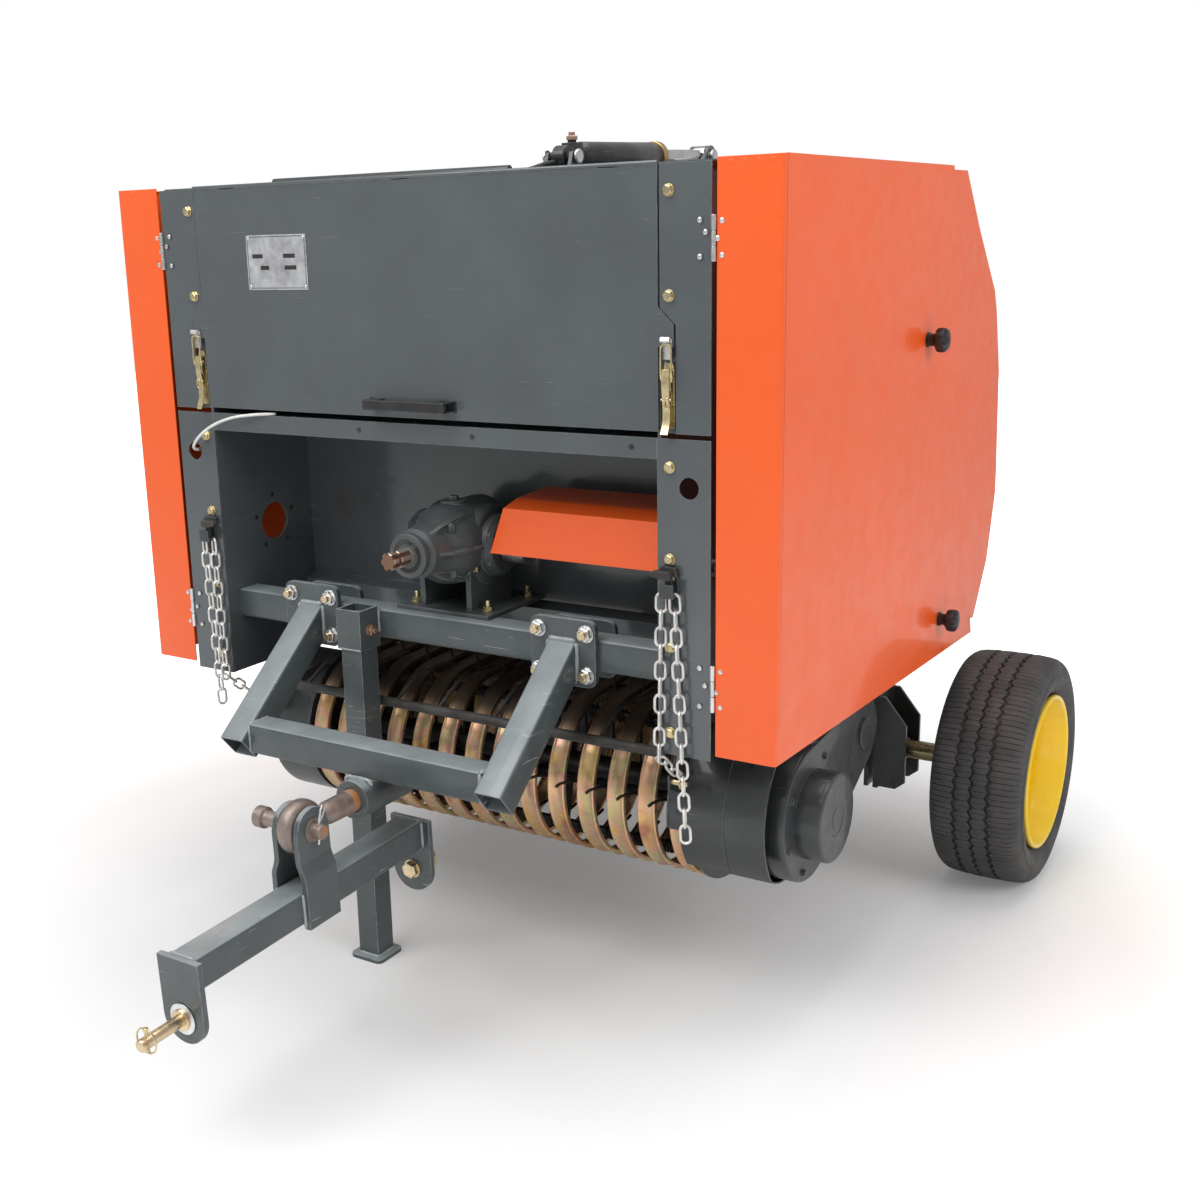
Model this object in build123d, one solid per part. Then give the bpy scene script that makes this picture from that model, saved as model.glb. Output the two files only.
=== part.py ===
from build123d import *
import math
import os

os.makedirs("parts", exist_ok=True)

# Small trailed round baler with steel rollers. Millimetres, +Z up.
# The machine is laid out with x = 0 on its middle plane (+X is its left side), y = 0 on the
# front plates and growing rearwards, z = 0 on the ground. Each piece is moved on export so that
# the origin lies on the ground under the middle of the whole machine.

# ---------------------------------------------------------------- driving sizes
SHEET = 3.0                 # body sheet
COVER_SHEET = 2.5           # orange covers
RUN = 5.0                   # clearance between bodies that pass each other
SEAT = 0.3                  # clearance at a seat or a running fit

# chamber and side walls
CHAMBER_Y = 772.0
CHAMBER_Z = 950.0
ROLLER_RING = 435.0         # radius on which the rollers lie
ROLLER_R = 52.0             # over the ribs
ROLLER_CORE = 45.0
ROLLER_RIBS = 8
ROLLER_RIB_WIDTH = 9.0
ROLLER_STUB = 14.0
WALL_IN = 517.0             # front side walls, inner face
WALL = 6.0
WALL_OUT = WALL_IN + WALL
WALL_FRONT = SHEET           # front edge of the side walls
GATE_WALL_OUT = WALL_IN - 3.0   # tailgate side walls run just inside the front ones
GATE_WALL_IN = GATE_WALL_OUT - WALL
ROOF_Z = 1576.0             # top of the roof sheet
ROOF_UNDER = ROOF_Z - SHEET
ROOF_SHAFT = (262.0, ROOF_Z + 13.0)
ROOF_SHAFT_R = 9.0
ROOF_SHAFT_X = (-545.0, 60.0)
FRONT_BOTTOM = 573.0
FRONT_SPLIT = 1135.0        # gap between the lower and the upper front plates
FRONT_EDGE = 617.5          # outer edge of the front plates
PANEL_BACK = 281.0          # back wall of the recess and of the twine box

# covers
COVER_X = 740.0
COVER_HINGE_X = 622.0
COVER_HINGE_Y = -1.0
COVER_HINGE_R = 4.0
COVER_PIN_R = 2.5
COVER_FRONT_BOTTOM = 584.0
GATE_COVER_X = 728.0

# tailgate hinge and its cylinder
GATE_HINGE = (800.0, 1530.0)
GATE_SHAFT_R = 15.0
SPLIT_TOP = (815.0, 1480.0)
SPLIT_BOTTOM = (885.0, 455.0)
CYL_X = 100.0
CYL_BASE = (391.0, 1614.0)
CYL_EYE = (995.0, 1632.0)
CYL_R = 29.0
CYL_BORE = 24.0
CYL_ROD_R = 14.0
CYL_BARREL_START = 62.0     # along the cylinder from the base pin
CYL_BARREL_END = 378.0
CYL_ROD_TAIL = 350.0

# hatch
HATCH_X = 521.0
HATCH_TAB_X = 550.0
HATCH_BOTTOM = 1142.0
HATCH_HINGE = (-1.0, 1574.5)
HINGE_R = 3.5
HINGE_PIN_R = 2.0
HATCH_KNUCKLES = (-430.0, 0.0, 430.0)

# beam, hitch and stand
BEAM = 60.0
BEAM_Y = 38.0
BEAM_Z = 690.0
TUBE_WALL = 4.0
ARM_X = 304.0
ARM_END = (-212.0, 507.0)
ARM_TOP_Z = 708.0
FLANGE = (140.0, 127.0, 12.0)
CROSS_Y = -180.0
CROSS_Z = 529.0
SOCKET_Z = 463.0
SOCKET_R = 38.0
SOCKET_Y = (-235.0, -90.0)
EYE_SHAFT_R = 22.0
CLEVIS_PIN = (-376.0, 463.0)
CLEVIS_PIN_R = 14.0
EYE_R = 50.0
EYE_WIDTH = 35.0
BAR_LENGTH = 604.0
BAR_DROP = 136.0            # clevis pin down to the middle of the hitch bar
BAR_TILT = 2.2
LINK_PIN_R = 11.0
LINK_PIN_DROP = 214.0       # clevis pin down to the link pins
LINK_PIN_OUT = (95.0, 50.0)  # free length of the front and of the rear pin
END_PLATE = (93.0, 12.0)
LEG_X = -167.5
LEG_Y = 8.0
LEG = 50.0
SLEEVE = 60.0
LEG_FOOT = 8.0
LEG_TOP = 742.0
SLEEVE_Z = (675.0, 757.0)

# gearbox and power take-off
PTO_Z = 885.0
PTO_R = 17.5
PTO_TIP = -94.0
PTO_SHOULDER = -36.0       # where the stub steps up to the journal in the gearbox
CROSS_SHAFT = (160.0, 878.0)
CROSS_SHAFT_R = 17.0
GEAR_PLATE_Z = BEAM_Z + BEAM + 9.0

# pickup
PIVOT = (524.0, 480.0)
PIVOT_R = 20.0              # tube that the pickup turns on
REEL = (263.0, 400.0)
BAND = (265.0, 412.0)
BAND_R = 168.0
BAND_WIDTH = 38.0
BAND_PITCH = 67.0
BANDS = 14
BAND_LEG = (558.0, 588.0)   # rear end of the bands' upper legs
TINE_R = 224.0
TINE_BAR = 120.0
TINE_WIRE = 5.0
END_RIGHT = -400.0          # inner faces of the pickup's end plates
END_LEFT = WALL_OUT + RUN
INSIDE_X = WALL_IN - RUN    # what passes between the side walls stays within this
LIFT_BOLT = (60.0, 497.0)   # bolt that the lift chain ends on
LAST_BAND = INSIDE_X - 9.5
FIRST_BAND = LAST_BAND - (BANDS - 1) * BAND_PITCH
CASE_X = (652.0, 700.0)
CASE_R = 132.0
CASE_REAR_R = 76.0
DRUM_R = 86.0
DRUM_X = 750.0
SHIELD_IN = BAND_R + 2.5     # left shield, just outside the last band
SHIELD_X = (484.0, 680.0)
SHIELD_ARC = (120.0, 217.0)
SHIELD_STEP = (188.0, 508.0)  # below this angle the shield starts at this x
GUARD_BAR = (54.0, 551.0)
GUARD_BAR_R = 10.0
GUARD_BAR_X = 490.0

# wheels and axle
WHEEL_X = 839.0
WHEEL_Y = 1066.0
TYRE_R = 260.0
TYRE_WIDTH = 203.0
RIM_R = 166.0
AXLE_R = 22.0

WHEEL_REAR = WHEEL_Y + TYRE_R
FRONT_TIP = (
    CLEVIS_PIN[0]
    - (BAR_LENGTH / 2 + END_PLATE[1] + LINK_PIN_OUT[0]) * math.cos(math.radians(BAR_TILT))
    + (LINK_PIN_DROP - LINK_PIN_R) * math.sin(math.radians(BAR_TILT))
)
Y_MIDDLE = (WHEEL_REAR + FRONT_TIP) / 2


# ---------------------------------------------------------------- helpers
def box(x0, x1, y0, y1, z0, z1):
    """Box between two corners."""
    return Pos((x0 + x1) / 2, (y0 + y1) / 2, (z0 + z1) / 2) * Box(x1 - x0, y1 - y0, z1 - z0)


def rod_x(x0, x1, y, z, r):
    """Round bar along X."""
    return Pos((x0 + x1) / 2, y, z) * Rot(0, 90, 0) * Cylinder(r, x1 - x0)


def rod_y(y0, y1, x, z, r):
    """Round bar along Y."""
    return Pos(x, (y0 + y1) / 2, z) * Rot(90, 0, 0) * Cylinder(r, y1 - y0)


def rod_z(z0, z1, x, y, r):
    """Round bar along Z."""
    return Pos(x, y, (z0 + z1) / 2) * Cylinder(r, z1 - z0)


def plate_yz(points, x0, x1):
    """Plate with an outline of (y, z) points, from x0 to x1."""
    face = make_face(Polyline(*points, close=True))
    return extrude(Plane.YZ.offset(x0) * face, amount=x1 - x0)


def plate_xz(points, y0, y1):
    """Plate with an outline of (x, z) points, from y0 to y1."""
    plane = Plane(origin=(0, y1, 0), x_dir=(1, 0, 0), z_dir=(0, -1, 0))
    return extrude(plane * make_face(Polyline(*points, close=True)), amount=y1 - y0)


def strip(points, thickness):
    """Outline of a bent sheet: the points, and the same line moved to its left by the thickness."""
    def left(a, b):
        length = math.hypot(b[0] - a[0], b[1] - a[1])
        return (-(b[1] - a[1]) / length, (b[0] - a[0]) / length)

    normals = [left(a, b) for a, b in zip(points, points[1:])]
    moved = []
    for i, (y, z) in enumerate(points):
        n0 = normals[max(i - 1, 0)]
        n1 = normals[min(i, len(normals) - 1)]
        bend = 1 + n0[0] * n1[0] + n0[1] * n1[1]
        moved.append((y + thickness * (n0[0] + n1[0]) / bend, z + thickness * (n0[1] + n1[1]) / bend))
    return list(points) + moved[::-1]


def polar(centre, radius, degrees):
    """Point on a circle in the (y, z) plane."""
    a = math.radians(degrees)
    return (centre[0] + radius * math.cos(a), centre[1] + radius * math.sin(a))


def ring_part(centre, r_in, r_out, start, end, x0, x1):
    """Part of a ring about an X axis, from one angle to another."""
    middle = (start + end) / 2
    line = make_face(
        Polyline(polar(centre, r_in, start), polar(centre, r_out, start))
        + ThreePointArc(*[polar(centre, r_out, a) for a in (start, middle, end)])
        + Polyline(polar(centre, r_out, end), polar(centre, r_in, end))
        + ThreePointArc(*[polar(centre, r_in, a) for a in (end, middle, start)])
    )
    return extrude(Plane.YZ.offset(x0) * line, amount=x1 - x0)


def hull_yz(c0, r0, c1, r1, x0, x1):
    """Plate round two circles in the (y, z) plane, with straight sides."""
    length = math.hypot(c1[0] - c0[0], c1[1] - c0[1])
    along = math.degrees(math.atan2(c1[1] - c0[1], c1[0] - c0[0]))
    lean = math.degrees(math.acos((r0 - r1) / length))
    sides = [polar(c0, r0, along + lean), polar(c1, r1, along + lean)]
    sides += [polar(c1, r1, along - lean), polar(c0, r0, along - lean)]
    shape = plate_yz(sides, x0, x1)
    shape += rod_x(x0, x1, c0[0], c0[1], r0)
    return shape + rod_x(x0, x1, c1[0], c1[1], r1)


def square_tube(x0, x1, y0, y1, z0, z1, along):
    """Hollow rectangular tube, open at both ends, along "x", "y" or "z"."""
    grow = {"x": (1, -TUBE_WALL, -TUBE_WALL), "y": (-TUBE_WALL, 1, -TUBE_WALL)}
    gx, gy, gz = grow.get(along, (-TUBE_WALL, -TUBE_WALL, 1))
    return box(x0, x1, y0, y1, z0, z1) - box(x0 - gx, x1 + gx, y0 - gy, y1 + gy, z0 - gz, z1 + gz)


def both(shape):
    """The shape and its mirror image on the other side of the machine."""
    return [shape, mirror(shape, about=Plane.YZ)]


def flip(shape):
    return mirror(shape, about=Plane.YZ)


def write(name, *shapes):
    """Write one node, moved so that the origin lies under the machine's middle."""
    solids = []
    for shape in shapes:
        solids += shape.solids() if hasattr(shape, "solids") else [s for part in shape for s in part.solids()]
    export_step(Pos(0, -Y_MIDDLE, 0) * Compound(solids), "parts/" + name + ".step")


# ---------------------------------------------------------------- side walls and front
def front_side_wall():
    """Left front side wall: carries the front rollers, the tailgate shaft and the pickup's tube."""
    outline = [
        (WALL_FRONT, FRONT_BOTTOM), (400, FRONT_BOTTOM), (478, 530), (PIVOT[0] - 48, PIVOT[1]),
        (PIVOT[0] + 48, PIVOT[1]), (600, 486), (660, 460), (CHAMBER_Y, 444), (SPLIT_BOTTOM[0], 450),
        SPLIT_TOP, (GATE_HINGE[0] + 30, GATE_HINGE[1] - 5), (GATE_HINGE[0] - 30, GATE_HINGE[1] + 22),
        (740, ROOF_UNDER), (WALL_FRONT, ROOF_UNDER),
    ]
    wall = plate_yz(outline, WALL_IN, WALL_OUT)
    wall += rod_x(WALL_IN, WALL_OUT, *PIVOT, 48)
    wall += rod_x(WALL_IN, WALL_OUT, *GATE_HINGE, 34)
    wall -= rod_x(WALL_IN - 1, WALL_OUT + 1, *PIVOT, PIVOT_R + SEAT)
    return wall - rod_x(WALL_IN - 1, WALL_OUT + 1, *GATE_HINGE, GATE_SHAFT_R)


def latch_rail():
    """Left strip behind the latch, from the side wall out to the upper front plate."""
    return box(WALL_OUT, HATCH_TAB_X + 3, 8, 11, FRONT_SPLIT + 4, 1340)


WALL_HOLE = (160.0, 878.0, 40.0)
left_wall = front_side_wall() - rod_x(WALL_IN - 1, WALL_OUT + 1, *CROSS_SHAFT, CROSS_SHAFT_R)
left_wall += latch_rail()
right_wall = front_side_wall() - rod_x(WALL_IN - 1, WALL_OUT + 1, *WALL_HOLE)
right_wall += latch_rail()
write("side_walls", left_wall, flip(right_wall))


def front_plate_lower():
    """Left lower front plate with its round hole."""
    plate = box(WALL_IN, FRONT_EDGE, 0, SHEET, FRONT_BOTTOM, FRONT_SPLIT - 4)
    return plate - rod_y(-1, SHEET + 1, 577, 1049, 18.5)


def front_plate_upper():
    """Left upper front plate: its inner edge steps outwards beside the hatch's tab and latch."""
    outline = [
        (HATCH_X + 3, ROOF_UNDER), (HATCH_X + 3, 1345), (HATCH_TAB_X + 3, 1318),
        (HATCH_TAB_X + 3, FRONT_SPLIT + 4), (FRONT_EDGE, FRONT_SPLIT + 4), (FRONT_EDGE, ROOF_UNDER),
    ]
    return plate_xz(outline, 0, SHEET)


COVER_HINGES = [(664, 748), (1418, 1491)]


def cover_hinge(z0, z1):
    """Fixed half of a left cover's hinge: leaf, pin, and a knuckle at each end of the pin."""
    third = (z1 - z0) / 3
    half = rod_z(z0, z1, COVER_HINGE_X, COVER_HINGE_Y, COVER_PIN_R)
    for low, high in ((z0, z0 + third), (z1 - third, z1)):
        half += rod_z(low, high, COVER_HINGE_X, COVER_HINGE_Y, COVER_HINGE_R)
        half += box(FRONT_EDGE - 1, COVER_HINGE_X, -2.5, 0, low, high)
    return half


lower_plate = front_plate_lower() + cover_hinge(*COVER_HINGES[0])
upper_plate = front_plate_upper() + cover_hinge(*COVER_HINGES[1])
write("front_plates", both(lower_plate), both(upper_plate))

# panel behind the recess and the twine box, with its step over the pickup
beam_top = BEAM_Z + BEAM
back_line = [(PANEL_BACK, ROOF_UNDER), (PANEL_BACK, beam_top - 9), (250, beam_top - 19), (250, 700)]
write("front_panel", plate_yz(strip(back_line, SHEET), -WALL_IN, WALL_IN))
write(
    "twine_box_floor",
    box(-WALL_IN, WALL_IN, SHEET, PANEL_BACK, 1128, 1131),
    plate_yz([(0, 1095), (SHEET, 1095), (SHEET, 1131), (0, 1131)], -WALL_IN, WALL_IN),
)
roof = box(-FRONT_EDGE, FRONT_EDGE, 14, 740, ROOF_UNDER, ROOF_Z)
for x in HATCH_KNUCKLES:
    lug = box(x - 20, x + 20, HATCH_HINGE[0], 14, ROOF_UNDER, ROOF_Z)
    roof += lug + rod_x(x - 20, x + 20, *HATCH_HINGE, HINGE_R)
roof += rod_x(-HATCH_X, HATCH_X, *HATCH_HINGE, HINGE_PIN_R)
write("roof", roof)

# ---------------------------------------------------------------- rollers
# angle of each roller's centre about the chamber's axis, from +Y towards +Z, in degrees
FRONT_ROLLER_ANGLES = [94, 114, 134, 154, 174, 194, 214, 252, 272]
GATE_ROLLER_ANGLES = [294, 314, 334, 354, 14, 34, 54, 74]


def roller(half_length, stub_end):
    """Ribbed steel roller on the X axis, with a stub at each end."""
    body = rod_x(-half_length, half_length, 0, 0, ROLLER_CORE)
    for i in range(ROLLER_RIBS):
        rib = box(-half_length, half_length, -ROLLER_RIB_WIDTH / 2, ROLLER_RIB_WIDTH / 2,
                  ROLLER_CORE - 4, ROLLER_R)
        body += Rot(360 / ROLLER_RIBS * i, 0, 0) * rib
    return body + rod_x(-stub_end, stub_end, 0, 0, ROLLER_STUB)


def ring_of(one_roller, angles):
    places = [polar((CHAMBER_Y, CHAMBER_Z), ROLLER_RING, a) for a in angles]
    return [Pos(0, y, z) * one_roller for y, z in places]


write("front_rollers", ring_of(roller(GATE_WALL_IN - 2, WALL_IN), FRONT_ROLLER_ANGLES))
write("tailgate_rollers", ring_of(roller(GATE_WALL_IN - 8, GATE_WALL_IN), GATE_ROLLER_ANGLES))
floor_centre = (CHAMBER_Y, CHAMBER_Z)
write("chamber_floor", ring_part(floor_centre, 492, 495, 258, 280, -WALL_IN, WALL_IN))

# ---------------------------------------------------------------- beam, hitch arms, stand
beam_end = WALL_IN
write("beam", square_tube(-beam_end, beam_end, BEAM_Y, BEAM_Y + BEAM, BEAM_Z, BEAM_Z + BEAM, "x"))

arm_slope = math.atan2(ARM_TOP_Z - ARM_END[1], BEAM_Y - FLANGE[2] - ARM_END[0])
arm_length = math.hypot(ARM_TOP_Z - ARM_END[1], BEAM_Y - FLANGE[2] - ARM_END[0])


def hitch_arm():
    """Left arm: square tube sloping down and forward from its flange."""
    reach = 60
    arm = square_tube(-BEAM / 2, BEAM / 2, -arm_length, reach, -BEAM / 2, BEAM / 2, "y")
    arm = Pos(ARM_X, BEAM_Y - FLANGE[2], ARM_TOP_Z) * Rot(math.degrees(arm_slope), 0, 0) * arm
    arm -= box(ARM_X - 100, ARM_X + 100, BEAM_Y - FLANGE[2], BEAM_Y + 200, 400, 1000)
    flange = box(ARM_X - FLANGE[0] / 2, ARM_X + FLANGE[0] / 2, BEAM_Y - FLANGE[2], BEAM_Y, 660,
                 660 + FLANGE[1])
    flange = fillet(flange.edges().filter_by(Axis.Y), 18)
    return arm + flange


def clamp_plate():
    """Plate behind the beam that the flange is bolted to."""
    y = BEAM_Y + BEAM
    plate = box(ARM_X - FLANGE[0] / 2, ARM_X + FLANGE[0] / 2, y, y + FLANGE[2], 660, 660 + FLANGE[1])
    return fillet(plate.edges().filter_by(Axis.Y), 18)


write("hitch_arms", both(hitch_arm()), both(clamp_plate()))
cross_half = ARM_X - BEAM / 2
cross = square_tube(-cross_half, cross_half, CROSS_Y - BEAM / 2, CROSS_Y + BEAM / 2,
                    CROSS_Z - BEAM / 2, CROSS_Z + BEAM / 2, "x")
socket = rod_y(*SOCKET_Y, 0, SOCKET_Z, SOCKET_R)
socket += box(-26, 26, CROSS_Y - 30, CROSS_Y + 30, SOCKET_Z + 20, CROSS_Z - BEAM / 2)
socket -= rod_y(SOCKET_Y[0] - 1, SOCKET_Y[1] + 1, 0, SOCKET_Z, EYE_SHAFT_R + SEAT)
write("hitch_cross_tube", cross + socket)

# eye shaft: turns in the socket, with a ring eye in front and a collar behind
neck_y = CLEVIS_PIN[0] + EYE_R + RUN
eye = rod_y(neck_y, SOCKET_Y[1] + 20, 0, SOCKET_Z, EYE_SHAFT_R)
eye += rod_y(CLEVIS_PIN[0] + 30, neck_y + 1, 0, SOCKET_Z, EYE_WIDTH / 2 - 1.5)
eye += rod_y(SOCKET_Y[1] + 1, SOCKET_Y[1] + 14, 0, SOCKET_Z, SOCKET_R - 6)
eye += rod_x(-EYE_WIDTH / 2, EYE_WIDTH / 2, *CLEVIS_PIN, EYE_R)
eye -= rod_x(-EYE_WIDTH, EYE_WIDTH, *CLEVIS_PIN, CLEVIS_PIN_R + 1)
write("hitch_eye", eye)


# hitch bar: hangs from the clevis pin, built level and then tilted as it hangs
def tilted(shape):
    back = Pos(0, -CLEVIS_PIN[0], -CLEVIS_PIN[1])
    return Pos(0, *CLEVIS_PIN) * Rot(BAR_TILT, 0, 0) * back * shape


bar_z = CLEVIS_PIN[1] - BAR_DROP
bar_y0 = CLEVIS_PIN[0] - BAR_LENGTH / 2
bar_y1 = CLEVIS_PIN[0] + BAR_LENGTH / 2
bar = square_tube(-BEAM / 2, BEAM / 2, bar_y0, bar_y1, bar_z - BEAM / 2, bar_z + BEAM / 2, "y")


def end_plate(y0, y1):
    """Plate on the bar's end, round at the bottom, with the link pin's hole."""
    half = END_PLATE[0] / 2
    pin_z = CLEVIS_PIN[1] - LINK_PIN_DROP
    plate = box(-half, half, y0, y1, pin_z, bar_z + BEAM / 2)
    plate += rod_y(y0, y1, 0, pin_z, half)
    return plate - rod_y(y0 - 1, y1 + 1, 0, pin_z, LINK_PIN_R)


bar += end_plate(bar_y0 - END_PLATE[1], bar_y0) + end_plate(bar_y1, bar_y1 + END_PLATE[1])
write("hitch_bar", tilted(bar))


def link_pin(out):
    """Rear lower-link pin: head inside the end plate, collar, and a free end of the given length."""
    z = CLEVIS_PIN[1] - LINK_PIN_DROP
    plate = BAR_LENGTH / 2
    face = plate + END_PLATE[1]
    pin = rod_y(plate - 16, face + out, 0, z, LINK_PIN_R)
    pin += rod_y(plate - 16, plate, 0, z, 17)
    pin += rod_y(face, face + 9, 0, z, 19)
    return pin


def clevis_plate():
    """Left clevis plate: close to the eye at the top, stepped out to the bar's side below."""
    near = EYE_WIDTH / 2 + 2
    half = 41.5
    y, z = CLEVIS_PIN
    side = [
        (near, z + half), (near + 11, z + half), (near + 11, z - 50), (BEAM / 2 + 11, z - 85),
        (BEAM / 2 + 11, bar_z - 40), (BEAM / 2, bar_z - 40), (BEAM / 2, z - 80), (near, z - 45),
    ]
    plate = plate_xz(side, y - half, y + half)
    outline = box(0, 100, y - half, y + half, bar_z - 40, z) + rod_x(0, 100, y, z, half)
    plate &= outline
    return plate - rod_x(0, 100, y, z, CLEVIS_PIN_R)


write("hitch_clevis", tilted(clevis_plate()), tilted(flip(clevis_plate())))
pin = rod_x(-58, 50, *CLEVIS_PIN, CLEVIS_PIN_R) + rod_x(-101, -58, *CLEVIS_PIN, 20)
at_bar = Pos(0, CLEVIS_PIN[0], 0)
front_pin = tilted(at_bar * mirror(link_pin(LINK_PIN_OUT[0]), about=Plane.XZ))
rear_pin = tilted(at_bar * link_pin(LINK_PIN_OUT[1]))
write("hitch_pins", tilted(pin), front_pin, rear_pin)

sleeve_half = SLEEVE / 2
sleeve = box(LEG_X - sleeve_half, LEG_X + sleeve_half, LEG_Y - sleeve_half, LEG_Y + sleeve_half, *SLEEVE_Z)
gap_half = LEG / 2 + SEAT
sleeve -= box(LEG_X - gap_half, LEG_X + gap_half, LEG_Y - gap_half, LEG_Y + gap_half, 600, 800)
write("stand_sleeve", sleeve)

leg_half = LEG / 2
leg = square_tube(LEG_X - leg_half, LEG_X + leg_half, LEG_Y - leg_half, LEG_Y + leg_half, LEG_FOOT,
                  LEG_TOP, "z")
foot = box(LEG_X - 40, LEG_X + 40, LEG_Y - 40, LEG_Y + 40, 0, LEG_FOOT)
write("stand_leg", leg + fillet(foot.edges().filter_by(Axis.Z), 12))


# chain hooks on the lower front plates
def chain_hook():
    """Left hook: a bent strap standing out of the front plate."""
    line = [(0, 906), (0, 866), (-26, 862), (-26, 886)]
    return plate_yz(strip(line[::-1], 5), 533, 559)


write("chain_hooks", both(chain_hook()))

# ---------------------------------------------------------------- chains
LINK = (40.0, 23.0, 6.0)    # length, width and wire of one chain link
LINK_PITCH = LINK[0] - 2 * LINK[2]


def chain_link(turn):
    """Link in the XZ plane with cut corners, its middle on the origin, turned about Z."""
    def ring(length, width, cut):
        a, b = width / 2, length / 2
        return [(a - cut, -b), (a, cut - b), (a, b - cut), (a - cut, b), (cut - a, b), (-a, b - cut),
                (-a, cut - b), (cut - a, -b)]

    wire = LINK[2]
    outer = plate_xz(ring(LINK[0], LINK[1], 7), -wire / 2, wire / 2)
    hole = plate_xz(ring(LINK[0] - 2 * wire, LINK[1] - 2 * wire, 3), -wire, wire)
    return Rot(0, 0, turn) * (outer - hole)


def strand(top, bottom):
    """Chain strand hanging straight from one point to another, links turned in alternation."""
    a, b = Vector(*top), Vector(*bottom)
    count = int((b - a).length / LINK_PITCH)
    lean_x = math.degrees(math.atan2(b.Y - a.Y, a.Z - b.Z))
    lean_y = -math.degrees(math.atan2(b.X - a.X, a.Z - b.Z))
    shape = None
    for i in range(count):
        spot = a + (b - a) * ((i + 0.5) / count)
        turn = 20 + 90 * (i % 2)
        link = Pos(spot) * Rot(lean_x, lean_y, 0) * chain_link(turn)
        shape = link if shape is None else shape + link
    return shape


def lift_chain(tail_x, tail_end, held_x, held_end_x):
    """Left chain: a loose tail and the strand held to the pickup's bolt, both hung on the hook."""
    hook_z = 866.0
    knee = (held_x - 6, -14, 562)
    end = (held_end_x, LIFT_BOLT[0], LIFT_BOLT[1] + 6 + 8)
    chain = strand((tail_x, -13, hook_z), tail_end)
    chain += strand((held_x, -13, hook_z), knee)
    chain += strand((knee[0], knee[1], knee[2] + 8), end)
    return chain - chain_hook()


write("chain_left", lift_chain(556, (578, -15, 420), 531, INSIDE_X + 13))
write("chain_right", flip(lift_chain(558, (541, -15, 506), 531, 526)))

# ---------------------------------------------------------------- gearbox, shafts and guard
profile = [
    (-35, 0), (-35, 44), (-22, 44), (-22, 50), (30, 56), (70, 76), (90, 80), (215, 80), (235, 55),
    (235, 0),
]
half_section = make_face(Polyline(*profile, close=True))
case_body = revolve(half_section, axis=Axis.X)
gearbox = Pos(0, 0, PTO_Z) * Rot(0, 0, 90) * case_body
gearbox += rod_x(0, 96, *CROSS_SHAFT, 52)
gearbox += rod_x(-92, 0, *CROSS_SHAFT, 46)
gearbox += box(-62, -50, 60, 220, GEAR_PLATE_Z, PTO_Z) + box(50, 62, 60, 220, GEAR_PLATE_Z, PTO_Z)
gearbox += box(-95, -50, 60, 220, GEAR_PLATE_Z, GEAR_PLATE_Z + 10)
gearbox += box(50, 95, 60, 220, GEAR_PLATE_Z, GEAR_PLATE_Z + 10)
gearbox -= rod_y(-40, 60, 0, PTO_Z, PTO_R + SEAT + 2)
gearbox -= rod_x(80, 100, *CROSS_SHAFT, CROSS_SHAFT_R)
gearbox += box(-140, 140, BEAM_Y + 2, PANEL_BACK, BEAM_Z + BEAM, GEAR_PLATE_Z)
write("gearbox", gearbox)

# power take-off stub with the shoulder that turns in the gearbox
stub = rod_y(PTO_TIP, PTO_SHOULDER, 0, PTO_Z, PTO_R) + rod_y(PTO_SHOULDER, 45, 0, PTO_Z, PTO_R + 2)
write("pto_shaft", stub)

write("cross_shaft", rod_x(80, WALL_OUT + 30, *CROSS_SHAFT, CROSS_SHAFT_R)
      + rod_x(100, 150, *CROSS_SHAFT, 32))
guard_line = [(90, 877), (90, 967), (130, 980), (232, 988), (232, 950)]
guard = plate_yz(strip(guard_line[::-1], COVER_SHEET), 60, WALL_IN)
slant = plate_xz([(0, 860), (98, 860), (150, 1000), (0, 1000)], 60, 260)
write("shaft_guard", guard - slant)


# ---------------------------------------------------------------- pickup
def band(x0, x1):
    """Stripper band: an upper leg, round the front of the reel, and back up to the pickup's tube."""
    inner = BAND_R - SHEET
    length = math.hypot(PIVOT[0] - BAND[0], PIVOT[1] - BAND[1])
    along = math.degrees(math.atan2(PIVOT[1] - BAND[1], PIVOT[0] - BAND[0]))
    lower = 360 + along - math.degrees(math.acos((inner - PIVOT_R + 1) / length))
    shape = ring_part(BAND, inner, BAND_R, 90, lower, x0, x1)
    leg = [polar(BAND, inner, lower), polar(BAND, BAND_R, lower)]
    leg += [polar(PIVOT, PIVOT_R + SHEET - 1, lower), polar(PIVOT, PIVOT_R - 1, lower)]
    shape += plate_yz(leg, x0, x1) - rod_x(x0, x1, *PIVOT, PIVOT_R)
    top = [(BAND[0], BAND[1] + inner), (BAND[0], BAND[1] + BAND_R), BAND_LEG,
           (BAND_LEG[0], BAND_LEG[1] - SHEET)]
    return shape + plate_yz(top, x0, x1)


def band_edges(i):
    """Edges of band i along X; the last one is narrower, to pass inside the side wall."""
    middle = FIRST_BAND + BAND_PITCH * i
    return middle - BAND_WIDTH / 2, min(middle + BAND_WIDTH / 2, INSIDE_X)


write("pickup_bands", [band(*band_edges(i)) for i in range(BANDS)])

# tube that the pickup turns on, with the sheet that carries the bands' upper legs
tube = rod_x(-WALL_OUT - 10, CASE_X[0], *PIVOT, PIVOT_R)
carrier = [(BAND_LEG[0] - 20, BAND_LEG[1] - SHEET - 0.68), (BAND_LEG[0], BAND_LEG[1] - SHEET)]
carrier += [(PIVOT[0] + 6, PIVOT[1] + 12), (PIVOT[0], PIVOT[1] + 12)]
tube += plate_yz(carrier, END_RIGHT, INSIDE_X)
write("pickup_tube", tube)


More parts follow.
